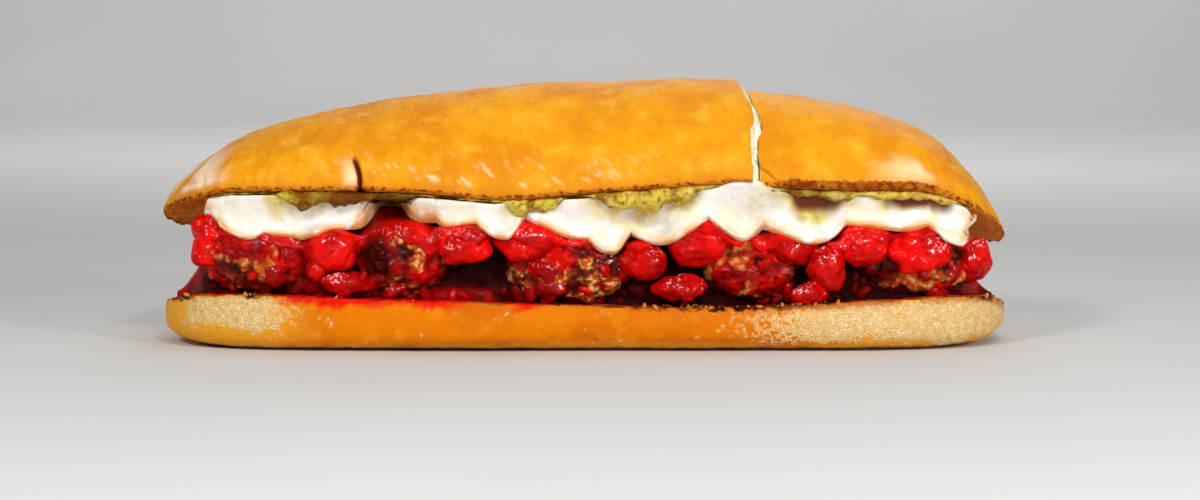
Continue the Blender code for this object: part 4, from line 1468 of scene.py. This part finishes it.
# %% [markdown]
# ## How far the cheese may reach
# The lobes hang to given heights. Under the top half the cheese fills the space up to the bread, and
# outside it hangs freely over the filling. At the slash it is squeezed out in a bulge. In one
# place no cheese hangs at the front.

# %% Edges and reach of the cheese
HIDDEN_ANGLE = math.radians(30.0)
CURTAIN_LEAD = math.radians(3.0)
CURTAIN_FALL = math.radians(16.0)
CURTAIN_INSET = 0.0012
UNDER_SPREAD = 0.0012
BULGE_X = 0.0500
BULGE_RISE = 0.0045


def bare_share(x):
    """1 where no cheese hangs at the front."""
    return np.minimum(1.4 * hill(x, BARE_X, 0.0046), 1.0)


def cheese_edges(x):
    width = float(plan_half_width(x))
    uneven = 0.0007 * noise.noise(Vector((x * 170.0, 0.0, 9.0)))
    front = lobe_bottom(x, FRONT_LOBES, CHEESE_REST_Z) + uneven
    back = lobe_bottom(x, BACK_LOBES, BACK_REST_Z)
    front_angle = math.atan2(width, front - CHEESE_AXIS_Z)
    front_angle = front_angle + (HIDDEN_ANGLE - front_angle) * float(bare_share(x))
    return front_angle, -math.atan2(width - 0.001, back - CHEESE_AXIS_Z)


def curtain(x, angle):
    """How far the cheese can reach: up to the top half, and outside it a wall under its edge."""
    rise = np.maximum(np.cos(angle) - np.sin(angle) * np.tan(lid_tilt(x)), 0.02)
    wave = edge_wave(x) * ease(np.sin(angle) * 1.3)
    roof = (lid_centre(x) + wave - CHEESE_AXIS_Z - UNDER_SPREAD) / rise
    over = np.exp(-np.abs((x - BULGE_X) / 0.0068) ** 3) * ease((angle - 0.75) / 0.12)
    roof = roof + BULGE_RISE * over
    inset = CURTAIN_INSET - 0.0022 * over
    wall = (plan_half_width(x) - inset) / np.maximum(np.abs(np.sin(angle)), 0.02)
    return np.minimum(roof, wall)


def curtain_share(x, angle):
    """1 under the top half and 0 where the cheese lies freely on the filling."""
    width = plan_half_width(x)
    front = np.arctan2(width, lid_cut(x, -width) - CHEESE_AXIS_Z) - CURTAIN_LEAD
    back = np.arctan2(width, lid_cut(x, width) - CHEESE_AXIS_Z) - CURTAIN_LEAD
    past = np.where(angle > 0.0, angle - front, -angle - back)
    return 1.0 - ease(past / CURTAIN_FALL)


print("cheese hangs to", [round(math.degrees(angle)) for angle in cheese_edges(0.0)], "degrees")

# %% [markdown]
# ## Lay the skin
# The skin is a grid over sections and angles. Where the distance from its outline is small, it is
# rounded off like a drop. The film of sauce below is laid in the same way.

# %% Cheese skin
CHEESE_SKIN = 0.0014
CHEESE_RIM = 0.0004
CHEESE_ARM = 0.040
RIM_ROUND = 0.0009
THINNEST_SKIN = 0.0004
SKIN_SINK = 0.0006


def skin_grid(edges, across, power):
    """Angles between the two edges of each section, closer at the front, and the x of each."""
    share = np.linspace(0.0, 1.0, across + 1) ** power
    angles = edges[:, :1] + (edges[:, 1:] - edges[:, :1]) * share[None, :]
    return angles, np.repeat(cheese_x[:, None], across + 1, axis=1)


def read_grid(grid, angles):
    """The values of a grid of felt reaches at other angles."""
    return np.array([np.interp(row, FEEL_ANGLES, values) for row, values in zip(angles, grid)])


def edge_distance(x_grid, angles, edges, arm):
    """Distance of each point from the outline, with the skin laid flat at the length of the arm."""
    nearest = np.full(x_grid.shape, 1.0)
    for border in edges.T:
        for x, edge in zip(cheese_x, border):
            nearest = np.minimum(nearest, np.hypot(x_grid - x, angles * arm - edge * arm))
    nearest = np.minimum(nearest, x_grid - cheese_x[0])
    return np.minimum(nearest, cheese_x[-1] - x_grid)


def laid_skin(name, x_grid, angles, distance, felt_here, outer, rim_round):
    """A closed skin between the filling and an outer reach, rounded off towards its outline."""
    thick = np.maximum(outer - felt_here, THINNEST_SKIN)
    turn = np.clip(distance / np.maximum(rim_round, 0.35 * thick), 0.0, 1.0)
    outer = felt_here + thick * np.sqrt(1.0 - (1.0 - turn) ** 2)
    inner = np.minimum(felt_here - SKIN_SINK, outer - SKIN_SINK / 2)
    sides = []
    for reach in (outer, inner):
        y, z = -np.sin(angles) * reach, CHEESE_AXIS_Z + np.cos(angles) * reach
        sides.append(section(x_grid, y, z))
    return skin_rows(name, np.concatenate([sides[0], sides[1][:, ::-1]], axis=1)), sides[0]


def make_cheese():
    edges = np.array([cheese_edges(x) for x in cheese_x])
    angles, x_grid = skin_grid(edges, CHEESE_ACROSS, 1.3)
    torn = noise_at(section(angles * 9.0, np.sign(x_grid), 0.0).reshape(-1, 3), 1.0, 2, 5.0)
    near_end = ease((np.abs(x_grid) - 0.104) / 0.016)
    x_grid = x_grid + 0.0032 * torn.reshape(x_grid.shape) * near_end
    felt_here = read_grid(draped, angles)
    distance = edge_distance(x_grid, angles, edges, CHEESE_ARM)
    spots = section(x_grid, angles * CHEESE_ARM, 3.0).reshape(-1, 3)
    lumps = noise_at(spots, 120.0, 2, 4.0).reshape(x_grid.shape)
    skin = CHEESE_SKIN + CHEESE_RIM * np.exp(-(distance / 0.005) ** 2)
    roof = curtain(x_grid, angles)
    free = felt_here + skin * (1.0 + 0.35 * lumps)
    full = curtain_share(x_grid, angles) * (1.0 - bare_share(x_grid) * (angles > 0.3))
    outer = np.minimum(full * roof + (1.0 - full) * free, roof + 0.0030 * (1.0 - full))
    outer = outer + 0.0007 * lumps * hill(angles, 1.05, 0.25)
    outer = np.maximum(outer, felt_here + 0.0012)
    piece, top = laid_skin("cheese", x_grid, angles, distance, felt_here, outer, RIM_ROUND)
    return piece, distance, top


cheese, cheese_distance, cheese_top = make_cheese()
print("cheese:", len(cheese.data.polygons), "faces")

# %% [markdown]
# ## The film of sauce
# Sauce runs down from under the cheese over whatever is there, and smooths the steps between
# tomato and meat. It is felt and laid like the cheese, only far thinner, with a ragged lower edge.

# %% Sauce film
FILM_SKIN = 0.0006
FILM_ARM = 0.035
FILM_RIM_ROUND = 0.0012
FILM_ACROSS = 64
FILM_EDGE_Z = 0.0350


def film_edge(x, side):
    """Angle of the lower edge of the film on one side of the roll."""
    drip = 0.0070 * noise.noise(Vector((x * 95.0, side * 3.0, 21.0)))
    drip += 0.0030 * noise.noise(Vector((x * 300.0, side * 3.0, 22.0)))
    low = FILM_EDGE_Z + drip - 0.0070 * float(hill(x, SAUCY_X, 0.012))
    return side * math.atan2(float(plan_half_width(x)) - 0.001, low - CHEESE_AXIS_Z)


def make_film():
    edges = np.array([[film_edge(x, 1.0), film_edge(x, -1.0)] for x in cheese_x])
    angles, x_grid = skin_grid(edges, FILM_ACROSS, 1.2)
    felt_here = read_grid(felt, angles)
    distance = edge_distance(x_grid, angles, edges, FILM_ARM)
    soft_here = read_grid(blurred(widened(felt, 1), 1.6, 1.2), angles)
    outer = np.maximum(soft_here, felt_here) + FILM_SKIN
    piece, _ = laid_skin("sauce_film", x_grid, angles, distance, felt_here, outer, FILM_RIM_ROUND)
    store_depth(piece)
    piece.data.materials.append(SAUCE_FILM)
    return piece


sauce_film = make_film()
print("film:", len(sauce_film.data.polygons), "faces")

# %% [markdown]
# ## Cheese finish
# Mozzarella is nearly white, but light goes into it and comes out warmer, so thin places look
# yellow. Where it meets the sauce its rim turns orange, and herb oil from the spread above has run
# over it in places and stained it green. In two hollows below the right part of the top half
# hardly any light comes in, so a dark brown shade is painted there. All four marks are grids of the
# same size as the skin.

# %% Cheese material
# Place and reach along the roll in metres, and depth below the top half in millimetres.
HERB_RUNS = (
    (-0.0950, 0.0060, 5.5),
    (-0.0860, 0.0130, 5.0),
    (-0.0155, 0.0100, 5.0),
    (0.0200, 0.0160, 11.0),
    (0.0640, 0.0150, 9.5),
    (0.0970, 0.0220, 4.5),
)
# Place and reach along the roll.
YELLOW_RUNS = ((-0.0930, 0.0070), (0.0100, 0.0080), (0.0740, 0.0140), (0.1040, 0.0120))
# Where dark brown shade is painted on the cheese.
SHADE_RUNS = ((0.0730, 0.0090), (0.1050, 0.0105))


def store_cheese_masks():
    x, y, z = cheese_top.transpose(2, 0, 1)
    below_lid = (lid_cut(x, -HALF_WIDTH * np.ones_like(x)) - z) / MM
    speckle = noise_at(cheese_top.reshape(-1, 3), 150.0, 3, 9.0).reshape(x.shape)
    herb = np.zeros_like(x)
    for place, reach, depth in HERB_RUNS:
        deep = depth * hill(x, place, reach)
        herb = np.maximum(herb, ease((deep * (1.0 + 1.2 * speckle) - below_lid + 1.2) / 2.6))
    herb = blurred(herb * (y < 0.0) * (1.0 - hill(x, BULGE_X - 0.002, 0.009)), 2.0, 2.5)
    rim = np.exp(-(cheese_distance / 0.0016) ** 2) * ease((speckle + 0.55) / 0.5)
    yellow = hills(x, YELLOW_RUNS) * ease((11.0 * (1.0 + speckle) - below_lid) / 7.0)
    # Painted shade below the lip of the spread.
    hollow_shade = ease((hills(x, SHADE_RUNS) + 0.25 * speckle - 0.25) / 0.35)
    hollow_shade = hollow_shade * ease((7.2 + 1.5 * speckle - below_lid) / 1.2)
    hollow_shade = np.clip(2.2 * blurred(hollow_shade, 1.5, 2.0) - 0.3, 0.0, 1.0)
    masks = {"herb": herb, "edge": rim, "yellow": yellow, "hollow_shade": hollow_shade}
    for name, values in masks.items():
        both = np.concatenate([values, values[:, ::-1]], axis=1)
        masks[name] = np.append(both.ravel(), [0.0, 0.0])
    store(cheese, **masks)


def make_cheese_material():
    material, tree, shader = new_material("cheese")
    milk = mixed(tree, mottle(tree, 70.0, 0.46, 0.66), tone(251, 248, 241), tone(249, 240, 212))
    milk = mixed(tree, stored(tree, "yellow"), milk, tone(248, 226, 140), 0.85)
    herb = stored(tree, "herb")
    edge = stored(tree, "edge")
    green = mixed(tree, mottle(tree, 300.0, 0.34, 0.66), tone(228, 208, 92), tone(176, 142, 26))
    colour = painted(
        tree, milk,
        (herb, green),
        (edge, tone(246, 172, 70), 0.9),
        # Painted dark brown shade in the two hollows.
        (stored(tree, "hollow_shade"), tone(104, 34, 0)),
    )
    plug(tree, colour, shader.inputs["Base Color"])
    shader.inputs["Roughness"].default_value = 0.30
    shader.inputs["Specular IOR Level"].default_value = 0.35
    shader.inputs["Subsurface Weight"].default_value = 0.12
    shader.inputs["Subsurface Radius"].default_value = (1.0, 0.8, 0.55)
    shader.inputs["Subsurface Scale"].default_value = 0.0020
    wet_bump(tree, shader, 150.0, 0.0013, 0.20)
    return material


store_cheese_masks()
cheese.data.materials.append(make_cheese_material())
print("attributes of the cheese:", len(cheese.data.attributes))

# %% [markdown]
# ## The herb spread
# The spread is soft and uneven. Along some stretches it is squeezed out under the crust and hangs
# there as a thick lip, elsewhere it stays inside. Each cross-section is a thin band against the cut
# face that ends in a round lip, and noise along the roll makes the lip swell and shrink.

# %% Herb spread
# Place and reach along the roll in metres, and how far the spread hangs out in millimetres.
SPREAD_OUT = ((-0.080, 0.019, 5.0), (-0.0155, 0.011, 4.8), (0.020, 0.021, 6.6), (0.088, 0.036, 2.4))
SPREAD_STEP = 0.0009
LIP_STEPS = 22
BAND_STEPS = 12


def make_spread():
    rows = []
    for x in np.arange(CHEESE_LEFT, CHEESE_RIGHT + 0.0001, SPREAD_STEP):
        out = 0.0
        for place, reach, depth in SPREAD_OUT:
            out = max(out, depth * float(ease(1.7 * (1.0 - abs(x - place) / reach))))
        wavy = 0.8 + 0.75 * noise.noise(Vector((x * 120.0, 0.0, 7.0)))
        wavy += 0.30 * noise.noise(Vector((x * 420.0, 0.0, 8.0)))
        depth = MM * (0.7 + out * wavy)
        limit = float(plan_half_width(x))
        front = -(limit - 0.0036 + 0.0022 * min(out / 3.0, 1.0) + 0.0005 * wavy)
        turn = np.linspace(-0.5 * math.pi, 0.5 * math.pi, LIP_STEPS + 1)
        lip_y = front + 0.0018 - 0.0026 * np.cos(turn) * (0.7 + 0.3 * wavy)
        top = lid_under(x, np.full(1, front))[0] - 0.0001
        lip_z = top - depth * (0.5 - 0.5 * np.sin(turn))
        band_y = np.linspace(front + 0.0030, limit * 0.88, BAND_STEPS + 1)
        over = lid_under(x, band_y) - 0.0001
        thin = 0.0011 + (depth - 0.0011) * np.exp(-((band_y - front) / 0.005) ** 2)
        lower = section(x, band_y, over - thin)
        rows.append(np.concatenate([section(x, lip_y, lip_z), section(x, band_y, over), lower[::-1]]))
    piece = skin_rows("spread", np.array(rows))
    points = points_of(piece)
    x = points[:, 0]
    push(piece, MM * (0.55 * noise_at(points, 260.0, 3, 51.0) + 0.25 * noise_at(points, 700.0, 2, 52.0)))
    dark = np.maximum(hill(x, -0.072, 0.015), 0.7 * hill(x, 0.066, 0.012))
    store(piece, dark=dark, pale=0.70 * ease((x - 0.078) / 0.016) + 0.30 * hill(x, 0.020, 0.014))
    return piece


def make_herb_material():
    material, tree, shader = new_material("herbs")
    base = painted(
        tree, tone(222, 198, 62),
        (mottle(tree, 140.0, 0.40, 0.60), tone(142, 96, 6)),
        (mottle(tree, 230.0, 0.52, 0.66), tone(240, 222, 118), 0.7),
        (stored(tree, "pale"), tone(238, 198, 84)),
        (mottle(tree, 420.0, 0.48, 0.72, 4.0), tone(104, 50, 5), 0.75),
        (mottle(tree, 520.0, 0.54, 0.74, 4.0), tone(248, 224, 112), 0.8),
        (stored(tree, "dark"), tone(108, 44, 2), 0.95),
    )
    plug(tree, base, shader.inputs["Base Color"])
    shader.inputs["Roughness"].default_value = 0.34
    shader.inputs["Specular IOR Level"].default_value = 0.06
    wet_bump(tree, shader, 420.0, 0.0008, 0.6)
    return material


spread = make_spread()
HERBS = make_herb_material()
spread.data.materials.append(HERBS)
print("spread:", len(spread.data.polygons), "faces")

# %% [markdown]
# ## Loose bits
# Real sandwiches shed: small bits of tomato and meat lie in the sauce and on the edge of the bread,
# and dark toasted crumbs stick to the cut edge. Each kind is one joined mesh of many small uneven
# lumps. Their places come from rays towards the filling and from the edge of the roll, with a
# seeded random draw, so they are the same at every run.

# %% Scatter helpers
def joined_lumps(name, lumps, subdivisions, material):
    """One mesh of many small lumps, each given as a middle, three radii and a seed."""
    bm = bmesh.new()
    bmesh.ops.create_icosphere(bm, subdivisions=subdivisions, radius=1.0)
    ball = np.array([vertex.co[:] for vertex in bm.verts])
    ball_faces = [tuple(vertex.index for vertex in face.verts) for face in bm.faces]
    bm.free()
    vertices = []
    faces = []
    for middle, radii, seed in lumps:
        start = len(vertices) * len(ball)
        uneven = 1.0 + 0.24 * noise_at(ball, 1.2, 2, seed)
        turn = seed * 2.4
        spun = ball * np.array(radii) * uneven[:, None]
        turned = spun.copy()
        turned[:, 0] = spun[:, 0] * math.cos(turn) - spun[:, 2] * math.sin(turn)
        turned[:, 2] = spun[:, 0] * math.sin(turn) + spun[:, 2] * math.cos(turn)
        vertices.append(turned + np.array(middle))
        faces += [tuple(start + index for index in face) for face in ball_faces]
    piece = build_mesh(name, np.concatenate(vertices), faces)
    piece.data.materials.append(material)
    return piece


print("a helper joins the lumps of each kind into one mesh")

# %% [markdown]
# ## Bits in the sauce
# A ray from outside finds the surface of the filling at each drawn place. The lump is set there a
# little sunk in, so that none floats.

# %% Bits in the sauce
BIT_COUNT = 80
BIT_REACH = 0.117


def make_bits():
    draw = random.Random(7)
    tree = join_tree([*meatballs.values(), *tomatoes.values(), sauce, sauce_film, cheese])
    lumps = []
    for side in (-1.0, 1.0):
        for _ in range(BIT_COUNT):
            x = draw.uniform(-BIT_REACH, BIT_REACH)
            y = side * 0.06
            low = float(bottom_cut(x, side * 0.03))
            z = low + 0.0005 + 0.012 * draw.random() ** 1.6
            hit = tree.ray_cast(Vector((x, y, z)), Vector((0.0, -side, 0.0)), 0.06)
            limit = float(plan_half_width(x)) - 0.0040
            if hit[0] is None:
                continue
            place = hit[0]
            if abs(place.y) > limit:
                place.y = side * limit
            size = 0.0011 + 0.0026 * draw.random() ** 1.5
            place.y -= side * size * 0.45
            radii = (size * 1.4, size, size * draw.uniform(0.6, 1.0))
            lumps.append((place, radii, draw.uniform(0.0, 50.0)))
    piece = joined_lumps("sauce_bits", lumps, 3, SAUCE_LUMP)
    store_depth(piece, 0.8)
    return piece


sauce_bits = make_bits()
print("sauce bits:", len(sauce_bits.data.polygons), "faces")

# %% [markdown]
# ## Toasted crumbs
# The cut edge of the lower half is charred along some stretches, and crumbs stick to it there. A
# place is kept where a draw falls below the share of charring, so they thin out on both sides.

# %% Toasted crumbs
CRUMB_COUNT = 420
CRUMB_REACH = 0.130


def make_crumb_material():
    material, tree, shader = new_material("toasted_crumb")
    colour = mixed(tree, mottle(tree, 300.0, 0.45, 0.55), tone(92, 26, 6), tone(216, 134, 54))
    plug(tree, colour, shader.inputs["Base Color"])
    shader.inputs["Roughness"].default_value = 0.7
    shader.inputs["Specular IOR Level"].default_value = 0.08
    grain = cloud(tree, 1500.0, 2.0)
    plug(tree, bumped(tree, grain, 0.0003), shader.inputs["Normal"])
    return material


def make_crumbs():
    draw = random.Random(11)
    lumps = []
    for index in range(CRUMB_COUNT):
        x = draw.uniform(-CRUMB_REACH, CRUMB_REACH)
        side = -1.0 if index % 2 else 1.0
        if draw.random() > float(char_share(x)):
            continue
        inset = draw.uniform(0.0012, 0.0042)
        y = side * (float(plan_half_width(x)) - inset)
        z = float(bread_top(x, y)) + 0.0002
        size = draw.uniform(0.0003, 0.0010)
        lumps.append(((x, y, z), (size * 1.4, size, size * 0.7), draw.uniform(0.0, 50.0)))
    return joined_lumps("crumbs", lumps, 2, make_crumb_material())


crumbs = make_crumbs()
print("crumbs:", len(crumbs.data.polygons), "faces")

# %% [markdown]
# ## Floor
# A plain pale floor catches the soft shadow. It isn't part of the sandwich.

# %% Floor
def make_floor():
    """A flat floor that curves up far behind into a plain backdrop."""
    half = 3.0
    bend = 0.6
    far = 1.6
    profile = [(-half, 0.0)]
    for step in range(13):
        angle = math.pi / 2 * step / 12
        profile.append((far + bend * math.sin(angle), bend - bend * math.cos(angle)))
    profile.append((far + bend, half))
    vertices = [(x, y, z) for y, z in profile for x in (-half, half)]
    faces = [(2 * i, 2 * i + 1, 2 * i + 3, 2 * i + 2) for i in range(len(profile) - 1)]
    mesh = bpy.data.meshes.new("floor")
    mesh.from_pydata(vertices, [], faces)
    mesh.shade_smooth()
    floor = placed("floor", mesh)
    material, tree, shader = new_material("floor")
    paper = mixed(tree, mottle(tree, 3.0, 0.3, 0.7), tone(222, 221, 219), tone(218, 217, 215))
    plug(tree, paper, shader.inputs["Base Color"])
    shader.inputs["Roughness"].default_value = 0.9
    shader.inputs["Specular IOR Level"].default_value = 0.1
    floor.data.materials.append(material)
    return floor


make_floor()
print("the floor is at height 0")

# %% [markdown]
# ## Hand the pieces over
# Every fine piece rides on the one body of the sandwich, and the solid it stands for is hidden.

# %% Ride and replace
def hand_over(piece, slot, *nodes):
    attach(piece, "root")
    if nodes:
        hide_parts(*nodes)


hand_over(top_left, "crust", "top_bun_left")
hand_over(top_right, "crust", "top_bun_right")
hand_over(bottom, "bottom_crust", "bottom_bun")
hand_over(sauce, "sauce", "sauce_bed")
hand_over(cheese, "cheese", "mozzarella")
hand_over(spread, "herbs", "herb_spread")
for name, piece in meatballs.items():
    hand_over(piece, "meat", name)
for name, piece in tomatoes.items():
    hand_over(piece, "tomato", name)
hand_over(sauce_film, "sauce")
hand_over(sauce_bits, "sauce")
hand_over(crumbs, "bottom_crust")
